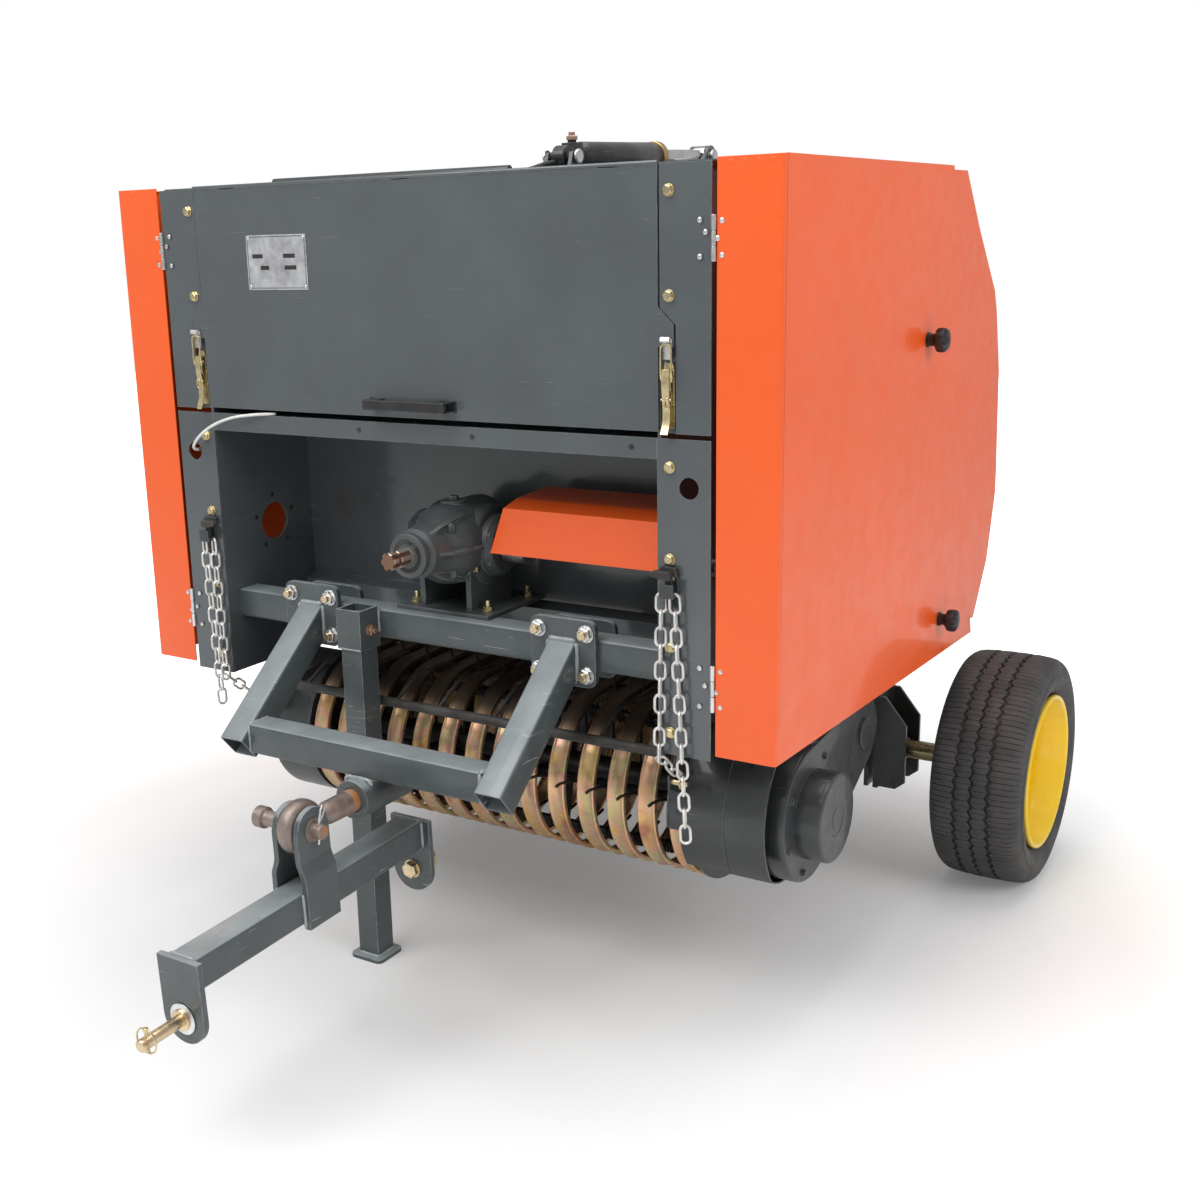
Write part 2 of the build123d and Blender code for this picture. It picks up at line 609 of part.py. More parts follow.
def pickup_end(x0, r):
    """End plate of the pickup, seen from the side: round the reel and back to the tube."""
    plate = hull_yz(BAND, r, PIVOT, 42, x0, x0 + WALL)
    plate -= rod_x(x0 - 1, x0 + WALL + 1, *PIVOT, PIVOT_R)
    return plate - rod_x(x0 - 1, x0 + WALL + 1, *REEL, CROSS_SHAFT_R + SEAT)


write("pickup_ends", pickup_end(END_RIGHT - WALL, BAND_R), pickup_end(END_LEFT, SHIELD_IN))


def lift_ear(x0, x1, seat):
    """Ear for the lift bolt, standing on a shield from this radius."""
    root = [polar(BAND, BAND_R, 130), polar(BAND, BAND_R, 165)]
    ear = plate_yz(root + [(48, 486), (48, 510)], x0, x1)
    return ear - rod_x(x0 - 1, x1 + 1, *BAND, seat)


# curved shield round the reel's left end, its inner drum up to the chain case, and the lift bolt's ear
left_shield = ring_part(BAND, SHIELD_IN, SHIELD_IN + SHEET, SHIELD_ARC[0], SHIELD_STEP[0], *SHIELD_X)
left_shield += ring_part(BAND, SHIELD_IN, SHIELD_IN + SHEET, SHIELD_STEP[0], SHIELD_ARC[1],
                         SHIELD_STEP[1], SHIELD_X[1])
left_shield += lift_ear(INSIDE_X - SHEET, INSIDE_X, SHIELD_IN + 1)
left_drum = rod_x(END_LEFT + WALL, CASE_X[0], *REEL, CASE_R + 12)
left_drum -= rod_x(END_LEFT, CASE_X[0] + 1, *REEL, CASE_R + 9)
left_drum -= rod_x(END_LEFT, CASE_X[0] + 1, *PIVOT, PIVOT_R + 20)
lift_bolt = rod_x(INSIDE_X, INSIDE_X + 19, *LIFT_BOLT, 6)
right_end = END_RIGHT - WALL
right_shield = ring_part(BAND, BAND_R - SHEET, BAND_R, 100, 300, -INSIDE_X, right_end)
right_shield += ring_part(BAND, 60, BAND_R, 100, 300, -INSIDE_X, -INSIDE_X + SHEET)
right_shield += lift_ear(-INSIDE_X, -INSIDE_X + SHEET, BAND_R - 2)
write("pickup_shields", left_shield, left_drum, right_shield)
write("lift_bolts", lift_bolt, rod_x(-WALL_OUT - 4, -INSIDE_X, *LIFT_BOLT, 6))

case = hull_yz(REEL, CASE_R, PIVOT, CASE_REAR_R, *CASE_X)
case -= rod_x(CASE_X[0] - 1, CASE_X[0] + 20, *REEL, CROSS_SHAFT_R + SEAT)
case += rod_x(CASE_X[1], DRUM_X, *REEL, DRUM_R) + rod_x(CASE_X[1], CASE_X[1] + 7, *PIVOT, 32)
write("chain_case", case)

# guard bar in front of the bands, its levers and its bent rods
ROD_R = 4.0
ROD_PLACES = [-360, -240, -120, -14, 120, 240, 360]
# levers of the guard: place along X, radius of what they sit on
GUARD_LEVERS = [(END_RIGHT - WALL / 2, BAND_R), (INSIDE_X - 12, SHIELD_IN + SHEET)]


def guard_rod(x):
    """Bent rod from the guard bar up and back over the bands."""
    y, z = GUARD_BAR
    path = FilletPolyline((x, y, z), (x, y + 80, z + 42), (x, y + 205, z + 40), radius=40)
    start = Plane(origin=path @ 0, z_dir=path % 0)
    return sweep(start * Circle(ROD_R), path=path)


guard = rod_x(-GUARD_BAR_X, INSIDE_X - 8, *GUARD_BAR, GUARD_BAR_R)
for x, seat in GUARD_LEVERS:
    lever = [(GUARD_BAR[0], GUARD_BAR[1] - 8), (GUARD_BAR[0], GUARD_BAR[1] + 8), (190, 580), (190, 540)]
    guard += plate_yz(lever, x - 4, x + 4) - rod_x(x - 5, x + 5, *BAND, seat)
for x in ROD_PLACES:
    guard += guard_rod(x)
write("wind_guard", guard)

# ---------------------------------------------------------------- tined reel
# rows of tines: angle of the bar about the reel's axis, turn of its tines from the radius
TINE_ROWS = [(167, 0), (77, 25), (347, 100), (257, 100)]
TINE_COLUMNS = [FIRST_BAND + BAND_PITCH * (i + 0.5) for i in range(BANDS - 1)]


def tine(angle, turn):
    """Straight spring tine standing on its bar."""
    wire = box(-TINE_WIRE / 2, TINE_WIRE / 2, 0, TINE_R - TINE_BAR, -TINE_WIRE / 2, TINE_WIRE / 2)
    y, z = polar((0, 0), TINE_BAR, angle)
    return Pos(0, REEL[0] + y, REEL[1] + z) * Rot(angle + turn, 0, 0) * wire


reel_x = (END_RIGHT + RUN, INSIDE_X - 8)
reel = rod_x(*reel_x, *REEL, 32)
for angle, turn in TINE_ROWS:
    y, z = polar(REEL, TINE_BAR, angle)
    reel += rod_x(*reel_x, y, z, 10)
for column in (0, 4, 8, BANDS - 1):
    x = FIRST_BAND + BAND_PITCH * column
    for angle, turn in TINE_ROWS:
        reel += Pos(0, *REEL) * Rot(angle, 0, 0) * box(x - 3, x + 3, 0, TINE_BAR, -14, 14)
for angle, turn in TINE_ROWS:
    one = tine(angle, turn)
    for x in TINE_COLUMNS:
        reel += Pos(x, 0, 0) * one
write("reel", reel)
write(
    "reel_shaft",
    rod_x(reel_x[1], CASE_X[0] + 19, *REEL, CROSS_SHAFT_R) - reel,
    rod_x(END_RIGHT - 18, reel_x[0], *REEL, CROSS_SHAFT_R) - reel,
)


# ---------------------------------------------------------------- wheels and axle
def tyre():
    """Left tyre as a ring with rounded shoulders, standing on the ground."""
    half = TYRE_WIDTH / 2
    outline = [
        (-half + 22, RIM_R + 6), (-half + 6, RIM_R + 22), (-half, TYRE_R - 46), (-half + 10, TYRE_R - 14),
        (-half + 30, TYRE_R - 3), (-30, TYRE_R), (30, TYRE_R), (half - 30, TYRE_R - 3),
        (half - 10, TYRE_R - 14), (half, TYRE_R - 46), (half - 6, RIM_R + 22), (half - 22, RIM_R + 6),
    ]
    ring = revolve(make_face(Polyline(*outline, close=True)), axis=Axis.X)
    return Pos(WHEEL_X, WHEEL_Y, TYRE_R) * ring


def rim():
    """Left rim: a barrel with flanges and a dished disc set deep inside it."""
    half = TYRE_WIDTH / 2 - 22
    barrel = [
        (-half, RIM_R + 6), (-half, RIM_R), (-half + 10, RIM_R - 14), (half - 10, RIM_R - 14), (half, RIM_R),
        (half, RIM_R + 6), (half + 14, RIM_R + 3), (half + 16, RIM_R - 3), (half - 4, RIM_R - 20),
        (-half + 4, RIM_R - 20), (-half - 14, RIM_R - 3), (-half - 12, RIM_R + 3),
    ]
    shape = revolve(make_face(Polyline(*barrel, close=True)), axis=Axis.X)
    disc = [(-8, 0), (-8, 60), (4, 100), (10, RIM_R - 18), (16, RIM_R - 18), (10, 96), (-2, 56), (-2, 0)]
    shape += revolve(make_face(Polyline(*disc, close=True)), axis=Axis.X)
    return Pos(WHEEL_X, WHEEL_Y, TYRE_R) * shape


def hub():
    """Left hub: barrel on the stub axle, flange and dust cap."""
    x = WHEEL_X
    shape = rod_x(x - 80, x - 8, WHEEL_Y, TYRE_R, 42)
    shape += rod_x(x - 22, x - 8, WHEEL_Y, TYRE_R, 66)
    return shape - rod_x(x - 81, x - 14, WHEEL_Y, TYRE_R, AXLE_R + SEAT)


def hub_cap():
    return rod_x(WHEEL_X - 2, WHEEL_X + 34, WHEEL_Y, TYRE_R, 27)


for side, place in (("left", lambda s: s), ("right", flip)):
    write("tyre_" + side, place(tyre()))
    write("rim_" + side, place(rim() + hub() + hub_cap()))

AXLE_BEAM = 80.0
axle = square_tube(-545, 545, WHEEL_Y - AXLE_BEAM / 2, WHEEL_Y + AXLE_BEAM / 2, TYRE_R - AXLE_BEAM / 2,
                   TYRE_R + AXLE_BEAM / 2, "x")
write("axle_beam", axle)
write("stub_axles", both(rod_x(557, WHEEL_X - 16, WHEEL_Y, TYRE_R, AXLE_R)))


def axle_bracket():
    """Left bracket: an upright from the side wall down to the axle, with a boxed foot round the stub."""
    x = WALL_OUT
    upright = [(700, 560), (860, 560), (905, 500), (1010, 440), (1118, 400), (1118, 168), (1014, 168),
               (1014, 210), (760, 470), (700, 500)]
    shape = plate_yz(upright, x, x + 10)
    shape -= box(x - 1, x + 11, WHEEL_Y - 40, WHEEL_Y + 40, TYRE_R - 40, TYRE_R + 40)
    return shape


def axle_foot():
    """Left boxed foot on the axle beam's end, carrying the stub axle."""
    plate = box(545, 557, WHEEL_Y - 52, WHEEL_Y + 52, 167, 400)
    gusset = plate_xz([(533, 400), (545, 400), (545, 340), (533, 340)], WHEEL_Y - 52, WHEEL_Y + 52)
    wing = [(557, 395), (570, 395), (622, 330), (622, 190), (600, 172), (557, 172)]
    wings = plate_xz(wing, WHEEL_Y - 52, WHEEL_Y - 44) + plate_xz(wing, WHEEL_Y + 44, WHEEL_Y + 52)
    return plate + gusset + wings


write("axle_brackets", both(axle_bracket()), both(axle_foot()))

# ---------------------------------------------------------------- side covers (doors)
COVER_TOP = 1578.0
COVER_REAR = [(829, COVER_TOP), (896, 1332), (1001, 935), (1089, 557)]


def side_cover():
    """Left cover: front strip, side sheet, and narrow returns along its top and slanted rear edge."""
    side = [(0, COVER_FRONT_BOTTOM), (0, COVER_TOP)] + COVER_REAR
    shape = plate_yz(side, COVER_X - COVER_SHEET, COVER_X)
    shape += box(COVER_HINGE_X + 5, COVER_X, 0, COVER_SHEET, COVER_FRONT_BOTTOM, COVER_TOP)
    shape += box(COVER_X - 7, COVER_X, 0, 825, COVER_TOP - COVER_SHEET, COVER_TOP)
    rear = strip(COVER_REAR[::-1], COVER_SHEET)
    return shape + plate_yz(rear, COVER_X - 7, COVER_X)


def cover_knobs():
    """Left cover's two star knobs on their threaded studs."""
    knobs = None
    for y, z in ((706, 1246), (849, 645)):
        knob = rod_x(COVER_X, COVER_X + 14, y, z, 12) + rod_x(COVER_X + 14, COVER_X + 45, y, z, 25)
        knobs = knob if knobs is None else knobs + knob
    return knobs


def cover_knuckle(z0, z1):
    """Moving knuckle of a left cover's hinge, between the fixed ones, with its leaf."""
    third = (z1 - z0) / 3
    low, high = z0 + third + SEAT, z1 - third - SEAT
    knuckle = rod_z(low, high, COVER_HINGE_X, COVER_HINGE_Y, COVER_HINGE_R)
    knuckle += box(COVER_HINGE_X, COVER_HINGE_X + 30, -2.5, 0, low, high)
    return knuckle - rod_z(low, high, COVER_HINGE_X, COVER_HINGE_Y, COVER_PIN_R + SEAT)


left_cover = side_cover() + cover_knobs()
for z0, z1 in COVER_HINGES:
    left_cover += cover_knuckle(z0, z1)
write("cover_left", left_cover)
write("cover_right", flip(left_cover))

# ---------------------------------------------------------------- tailgate
GATE_OUTLINE = [
    (837, 1571), (953, 1571), (1055, 1454), (1189, 1319), (1211, 1272), (1251, 1136), (1270, 895),
    (1271, 853), (1227, 699), (1141, 578),
]
SKIN_TAIL = [(1040, 505), (900, 462)]


def gate_wall():
    """Left tailgate side wall, just inside the front wall, hung on the hinge shaft."""
    front = [(900, 465), (892, 560), (830, 1465)]
    rear = [(950, 1560), (1050, 1446), (1183, 1312), (1203, 1268), (1243, 1134), (1262, 894), (1263, 856),
            (1219, 704), (1134, 583), (1036, 512)]
    outline = front + [(GATE_HINGE[0] - 10, GATE_HINGE[1] - 25), (GATE_HINGE[0], GATE_HINGE[1] + 30)] + rear
    wall = plate_yz(outline, GATE_WALL_IN, GATE_WALL_OUT)
    wall += rod_x(GATE_WALL_IN, GATE_WALL_OUT, *GATE_HINGE, 30)
    return wall - rod_x(GATE_WALL_IN - 1, GATE_WALL_OUT + 1, *GATE_HINGE, GATE_SHAFT_R + SEAT)


write("tailgate_walls", both(gate_wall()))
skin_line = [(870, 1571)] + GATE_OUTLINE[1:] + SKIN_TAIL
gate_skin = plate_yz(strip(skin_line[::-1], SHEET), -GATE_WALL_IN, GATE_WALL_IN)


def gate_cover():
    """Left orange cover of the tailgate: side sheet and the rim that joins it to the side wall."""
    inner_edge = [(905, 587), (848, 1480)]
    face = GATE_OUTLINE + [(1084, 587)] + inner_edge
    shape = plate_yz(face, GATE_COVER_X - COVER_SHEET, GATE_COVER_X)
    rim_line = GATE_OUTLINE + [(1084, 587)]
    return shape + plate_yz(strip(rim_line[::-1], COVER_SHEET), GATE_WALL_OUT, GATE_COVER_X)


write("tailgate_cover_left", gate_cover())
write("tailgate_cover_right", flip(gate_cover()))
write("tailgate_shaft", rod_x(-WALL_OUT - 10, WALL_OUT + 10, *GATE_HINGE, GATE_SHAFT_R))

gate_tube = square_tube(-GATE_WALL_IN, GATE_WALL_IN, 872, 922, 1505, 1555, "x")
LUG_GAP = 16.0


def cylinder_lug():
    """Pair of lugs from the tailgate's tube up through the skin to the rod's eye."""
    outline = [(880, 1555), (922, 1555), (CYL_EYE[0] + 22, CYL_EYE[1] - 8), (CYL_EYE[0], CYL_EYE[1] + 20),
               (CYL_EYE[0] - 22, CYL_EYE[1] + 8)]
    lugs = []
    for x0 in (CYL_X - LUG_GAP - 8, CYL_X + LUG_GAP):
        lug = plate_yz(outline, x0, x0 + 8) + rod_x(x0, x0 + 8, *CYL_EYE, 22)
        lugs.append(lug)
    return lugs


for lug in cylinder_lug():
    gate_tube += lug
    gate_skin -= lug
write("tailgate_tube", gate_tube)
write("tailgate_skin", gate_skin)

# ---------------------------------------------------------------- tailgate cylinder
cyl_angle = math.degrees(math.atan2(CYL_EYE[1] - CYL_BASE[1], CYL_EYE[0] - CYL_BASE[0]))
cyl_length = math.hypot(CYL_EYE[1] - CYL_BASE[1], CYL_EYE[0] - CYL_BASE[0])


def on_cylinder(shape):
    """From a frame with its base pin at the origin and its length along Y."""
    return Pos(CYL_X, *CYL_BASE) * Rot(cyl_angle, 0, 0) * shape


barrel = rod_y(CYL_BARREL_START, CYL_BARREL_END, 0, 0, CYL_R)
barrel += rod_y(10, CYL_BARREL_START, 0, 0, 20) + rod_x(-14, 14, 0, 0, 22)
barrel += box(-16, 16, 20, 52, -16, 26) + rod_z(20, 36, 0, 36, 9)
barrel -= rod_y(CYL_BARREL_START + 12, CYL_BARREL_END + 1, 0, 0, CYL_BORE)
barrel += rod_y(CYL_BARREL_END - 18, CYL_BARREL_END + 8, 0, 0, CYL_R + 2)
barrel -= rod_y(CYL_BARREL_END - 30, CYL_BARREL_END + 20, 0, 0, CYL_ROD_R + SEAT)
barrel -= rod_x(-20, 20, 0, 0, 10 + SEAT)
write("cylinder_barrel", on_cylinder(barrel))
rod = rod_y(CYL_ROD_TAIL, cyl_length - 18, 0, 0, CYL_ROD_R)
rod += rod_x(-LUG_GAP + 2, LUG_GAP - 2, cyl_length, 0, 22)
rod -= rod_x(-20, 20, cyl_length, 0, 10)
write("cylinder_rod", on_cylinder(rod))

# bracket that carries the cylinder's base pin on the roof
ear = [(CYL_BASE[0] - 30, ROOF_Z), (CYL_BASE[0] + 30, ROOF_Z), (CYL_BASE[0] + 14, CYL_BASE[1] + 8),
       (CYL_BASE[0] - 14, CYL_BASE[1] + 8)]
base_bracket = plate_yz(ear, CYL_X - 32, CYL_X - 24) + plate_yz(ear, CYL_X + 24, CYL_X + 32)
base_bracket += rod_x(CYL_X - 36, CYL_X + 36, *CYL_BASE, 10)
write("cylinder_bracket", base_bracket)

# round control shaft lying across the roof on two bearing blocks
y, z = ROOF_SHAFT
roof_shaft = rod_x(*ROOF_SHAFT_X, y, z, ROOF_SHAFT_R)
for x in (ROOF_SHAFT_X[0] + 30, ROOF_SHAFT_X[1] - 25):
    roof_shaft += box(x - 15, x + 15, y - 10, y + 10, ROOF_Z, z + 1)
write("roof_shaft", roof_shaft)


# ---------------------------------------------------------------- hatch
def hatch_panel():
    """Hatch sheet in front of the side walls, with side tabs at mid height and its hinge knuckles."""
    outline = [(HATCH_X, HATCH_HINGE[1] - 2.5), (HATCH_X, 1347), (HATCH_TAB_X, 1320), (HATCH_TAB_X, 1282), (HATCH_X, 1282),
               (HATCH_X, HATCH_BOTTOM)]
    outline += [(-x, z) for x, z in outline[::-1]]
    shape = plate_xz(outline, -2, 0)
    shape += rod_x(-HATCH_X, HATCH_X, *HATCH_HINGE, HINGE_R)
    shape -= rod_x(-HATCH_X - 1, HATCH_X + 1, *HATCH_HINGE, HINGE_PIN_R + SEAT)
    for x in HATCH_KNUCKLES:
        shape -= box(x - 20 - SEAT, x + 20 + SEAT, -10, 10, HATCH_HINGE[1] - 4.5, HATCH_HINGE[1] + 5.5)
    return shape


write("hatch", hatch_panel())
grip = box(-90, 99, -34, -26, 1158, 1176)
grip += box(-90, -62, -34, -2, 1158, 1176) + box(71, 99, -34, -2, 1158, 1176)
write("hatch_handle", grip)


def latch():
    """Left toggle latch: base, and lever folded down over it."""
    shape = box(528, 549, 2, 8, 1150, 1256)
    shape += box(530, 547, -10, 2, 1196, 1240)
    return shape + plate_yz([(-10, 1210), (2, 1210), (2, 1140), (-14, 1138)], 532, 545)


write("hatch_latches", both(latch()))
write("hatch_hooks", both(box(530, 548, -6, -2, 1284, 1296)))

# ---------------------------------------------------------------- white cord from the hatch to the hole
CORD_R = 3.0
CORD_POINTS = [
    (-577, 14, 1050), (-571, -14, 1052), (-548, -22, 1078), (-505, -20, 1107), (-450, -14, 1126),
    (-400, -9, 1132), (-372, -4, 1134.1), (-350, 8, 1134.1),
]
cord_vectors = [Vector(*p) for p in CORD_POINTS]
cord_radii = []
for a, b, c in zip(cord_vectors, cord_vectors[1:], cord_vectors[2:]):
    turn = math.radians((b - a).get_angle(c - b))
    cord_radii.append(0.45 * min((b - a).length, (c - b).length) / math.tan(turn / 2))
cord_path = FilletPolyline(*CORD_POINTS, radius=cord_radii)
write("twine_cord", sweep(Plane(origin=cord_path @ 0, z_dir=cord_path % 0) * Circle(CORD_R), path=cord_path))
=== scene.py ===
import bmesh
import bpy
import math
from mathutils import Matrix, Vector

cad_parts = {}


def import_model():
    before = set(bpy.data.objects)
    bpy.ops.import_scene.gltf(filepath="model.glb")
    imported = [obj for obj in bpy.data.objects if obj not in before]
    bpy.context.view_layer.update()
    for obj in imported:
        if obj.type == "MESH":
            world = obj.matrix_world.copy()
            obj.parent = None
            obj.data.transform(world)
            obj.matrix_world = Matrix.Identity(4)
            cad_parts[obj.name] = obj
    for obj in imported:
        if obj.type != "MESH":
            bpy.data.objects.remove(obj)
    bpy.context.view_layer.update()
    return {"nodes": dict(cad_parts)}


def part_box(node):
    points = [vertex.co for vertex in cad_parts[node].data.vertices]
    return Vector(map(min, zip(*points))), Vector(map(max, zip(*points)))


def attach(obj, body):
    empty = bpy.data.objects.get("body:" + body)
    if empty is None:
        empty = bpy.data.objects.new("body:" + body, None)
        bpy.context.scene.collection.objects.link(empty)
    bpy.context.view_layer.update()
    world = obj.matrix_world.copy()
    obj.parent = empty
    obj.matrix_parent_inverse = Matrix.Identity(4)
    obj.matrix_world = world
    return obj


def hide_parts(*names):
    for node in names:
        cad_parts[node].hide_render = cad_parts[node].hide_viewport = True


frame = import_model()

# Lengths below are millimetres in the machine's layout: x across (+X is its left side), y back from
# the front plates, z up from the ground. world() turns them into the frame's metres.
MM = 0.001
FRONT_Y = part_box("side_walls")[0].y - 3 * MM
PTO_Z = 885  # height of the power take-off


def world(p):
    return (p[0] * MM, p[1] * MM + FRONT_Y, p[2] * MM)


# ---- shapes
AXES = {"x": (1, 0, 0), "y": (0, 1, 0), "z": (0, 0, 1), "-x": (-1, 0, 0), "-y": (0, -1, 0)}


def way(axis):
    """Unit vector of an axis, given by its name or as a vector."""
    return Vector(AXES[axis] if isinstance(axis, str) else axis).normalized()


def circle(count):
    """Angles spaced evenly round a full turn."""
    return [2 * math.pi * i / count for i in range(count)]


def polar(centre, radius, degrees):
    """Point (a, b) on a circle."""
    a = math.radians(degrees)
    return centre[0] + radius * math.cos(a), centre[1] + radius * math.sin(a)


def arc(centre, radius, start, end, count):
    """Points (a, b) on an arc, angles in degrees."""
    return [polar(centre, radius, start + (end - start) / count * i) for i in range(count + 1)]


def placed(p, axis, t):
    """Point of two coordinates, set at t along the third."""
    return {"x": (t, p[0], p[1]), "y": (p[0], t, p[1]), "z": (p[0], p[1], t)}[axis]


class Shape:
    """Points and faces of one or more closed or open surfaces."""

    def __init__(self):
        self.points = []
        self.faces = []

    def add(self, points, faces):
        n = len(self.points)
        self.points += [tuple(p) for p in points]
        self.faces += [tuple(i + n for i in face) for face in faces]
        return self

    def join(self, other, move=(0, 0, 0)):
        points = [(p[0] + move[0], p[1] + move[1], p[2] + move[2]) for p in other.points]
        return self.add(points, other.faces)

    def turned(self, matrix):
        """A copy, with its points carried by a 4x4 matrix."""
        return Shape().add([matrix @ Vector(p) for p in self.points], self.faces)

    def mirrored(self):
        """A copy on the other side of the machine's middle plane."""
        return Shape().add([(-x, y, z) for x, y, z in self.points], [f[::-1] for f in self.faces])

    def box(self, x0, x1, y0, y1, z0, z1):
        points = [(x, y, z) for x in (x0, x1) for y in (y0, y1) for z in (z0, z1)]
        faces = [(0, 1, 3, 2), (4, 6, 7, 5), (0, 4, 5, 1), (2, 3, 7, 6), (0, 2, 6, 4), (1, 5, 7, 3)]
        return self.add(points, faces)

    def prism(self, outline, axis, a, b):
        """Outline of two coordinates, extruded along the third from a to b."""
        return self.rings([[placed(p, axis, t) for p in outline] for t in (a, b)])

    def rings(self, rings, closed=False, caps=True):
        """Skin through rings of equally many points."""
        n = len(rings[0])
        count = len(rings)
        points = [p for ring in rings for p in ring]
        faces = []
        for r in range(count if closed else count - 1):
            s = (r + 1) % count
            faces += [(r * n + i, r * n + (i + 1) % n, s * n + (i + 1) % n, s * n + i) for i in range(n)]
        if caps and not closed:
            faces += [tuple(range(n))[::-1], tuple((count - 1) * n + i for i in range(n))]
        return self.add(points, faces)

    def lathe(self, centre, axis, profile, n=48, caps=True):
        """Surface of revolution: profile of (distance along the axis, radius)."""
        direction = way(axis)
        side = direction.orthogonal().normalized()
        other = direction.cross(side)
        rings = []
        for along, radius in profile:
            middle = Vector(centre) + direction * along
            rings.append([middle + (side * math.cos(a) + other * math.sin(a)) * radius for a in circle(n)])
        return self.rings(rings, caps=caps)

    def disc(self, centre, axis, radius, height, chamfer=0.0, n=32):
        """Round bar or disc that stands along the axis, with chamfered ends."""
        low = radius - chamfer
        profile = [(0, low), (chamfer, radius), (height - chamfer, radius), (height, low)]
        return self.lathe(centre, axis, profile if chamfer else [profile[0], profile[-1]], n)

    def rod(self, a, b, r, n=24, chamfer=0.0):
        a, b = Vector(a), Vector(b)
        return self.disc(a, b - a, r, (b - a).length, chamfer, n)

    def tube(self, points, r, n=10, closed=False):
        """Round bar along a line of points; r is its radius, or a list of one for each point."""
        line = [Vector(p) for p in points]
        count = len(line)
        radii = r if isinstance(r, list) else [r] * count
        rings, normal = [], None
        for i, p in enumerate(line):
            before = line[i - 1] if i or closed else p
            after = line[(i + 1) % count] if i < count - 1 or closed else p
            tangent = (after - before).normalized()
            if normal is None:
                normal = tangent.orthogonal().normalized()
            normal = (normal - tangent * normal.dot(tangent)).normalized()
            side = tangent.cross(normal)
            rings.append([p + (normal * math.cos(a) + side * math.sin(a)) * radii[i] for a in circle(n)])
        return self.rings(rings, closed=closed)

    def hexagon(self, centre, axis, across, height, chamfer=1.2):
        """Hexagonal head or nut standing up along the axis from the centre."""
        r = across / math.sqrt(3)
        profile = [(0, r), (height - chamfer, r), (height, r - chamfer * 1.6)]
        return self.lathe(centre, axis, profile, 6)

    def bolt(self, centre, axis, size, tip=0.0):
        """Hex bolt head on a washer; with a tip it is a nut on the bolt's end."""
        direction = way(axis)
        washer, head = size * 0.18, size * 0.65
        self.disc(centre, direction, size * 1.1, washer, n=24)
        seat = Vector(centre) + direction * washer
        self.hexagon(seat, direction, size * 1.65, head)
        if tip:
            end = [(0, size / 2), (tip - 1, size / 2), (tip, size / 2 - 1)]
            self.lathe(seat + direction * head, direction, end, 16)
        return self


# ---- materials
class Nodes:
    """Short calls for building a material's node tree."""

    def __init__(self, name):
        self.material = bpy.data.materials.new(name)
        self.material.use_nodes = True
        self.tree = self.material.node_tree
        self.shader = self.tree.nodes["Principled BSDF"]
        self.coordinates = self.new("TexCoord").outputs["Object"]

    def put(self, socket, value):
        if isinstance(value, bpy.types.NodeSocket):
            self.tree.links.new(value, socket)
        elif isinstance(value, tuple) and socket.type == "RGBA":
            socket.default_value = (*value, 1)
        else:
            socket.default_value = value

    def new(self, kind, **inputs):
        """A node with its inputs set or linked."""
        node = self.tree.nodes.new("ShaderNode" + kind)
        for name, value in inputs.items():
            self.put(node.inputs[name], value)
        return node

    def stretched(self, scale, turn=(0, 0, 0)):
        return self.new("Mapping", Vector=self.coordinates, Scale=scale, Rotation=turn).outputs["Vector"]

    def noise(self, scale, detail=3.0, roughness=0.55, vector=None, distortion=0.0):
        node = self.new("TexNoise", Vector=vector or self.coordinates, Scale=scale, Detail=detail,
                        Roughness=roughness, Distortion=distortion)
        return node.outputs["Fac"]

    def ramp(self, factor, *stops):
        """Colours or numbers between stops of (position, value)."""
        node = self.new("ValToRGB", Fac=factor)
        elements = node.color_ramp.elements
        while len(elements) < len(stops):
            elements.new(0.5)
        for element, (position, color) in zip(elements, stops):
            element.position = position
            element.color = (*color, 1) if isinstance(color, tuple) else (color, color, color, 1)
        return node.outputs["Color"]

    def cloud(self, noise, *stops):
        return self.ramp(self.noise(*noise), *stops)

    def mix(self, factor, a, b):
        node = self.tree.nodes.new("ShaderNodeMix")
        node.data_type = "RGBA"
        for name, value in (("Factor", factor), ("A", a), ("B", b)):
            self.put(node.inputs[name], value)
        return node.outputs["Result"]

    def math(self, operation, a, b=0.0):
        node = self.tree.nodes.new("ShaderNodeMath")
        node.operation = operation
        self.put(node.inputs[0], a)
        self.put(node.inputs[1], b)
        return node.outputs[0]

    def times(self, a, *others):
        for b in others:
            a = self.math("MULTIPLY", a, b)
        return a

    def measure(self, operation, a, b=None):
        """Length of a vector, or dot product of two."""
        node = self.tree.nodes.new("ShaderNodeVectorMath")
        node.operation = operation
        self.put(node.inputs[0], a)
        if b:
            self.put(node.inputs[1], b)
        return node.outputs["Value"]

    def part(self, letter, vector=None):
        """One coordinate of a vector, else of the place on the object."""
        return self.new("SeparateXYZ", Vector=vector or self.coordinates).outputs[letter]

    def normal(self):
        return self.new("NewGeometry").outputs["Normal"]

    def rounded(self, radius):
        """The normal, with edges rounded off to a radius."""
        node = self.new("Bevel", Radius=radius)
        node.samples = 4
        return node.outputs["Normal"]

    def surface(self, color, roughness, metallic=0.0):
        for name, value in (("Base Color", color), ("Roughness", roughness), ("Metallic", metallic)):
            self.put(self.shader.inputs[name], value)

    def bump(self, height, strength, distance=0.001, edge=0.0):
        node = self.new("Bump", Height=height, Strength=strength, Distance=distance)
        if edge:
            self.put(node.inputs["Normal"], self.rounded(edge))
        self.put(self.shader.inputs["Normal"], node.outputs["Normal"])
        return self.material


def shade(color, factor):
    return tuple(c * factor for c in color)


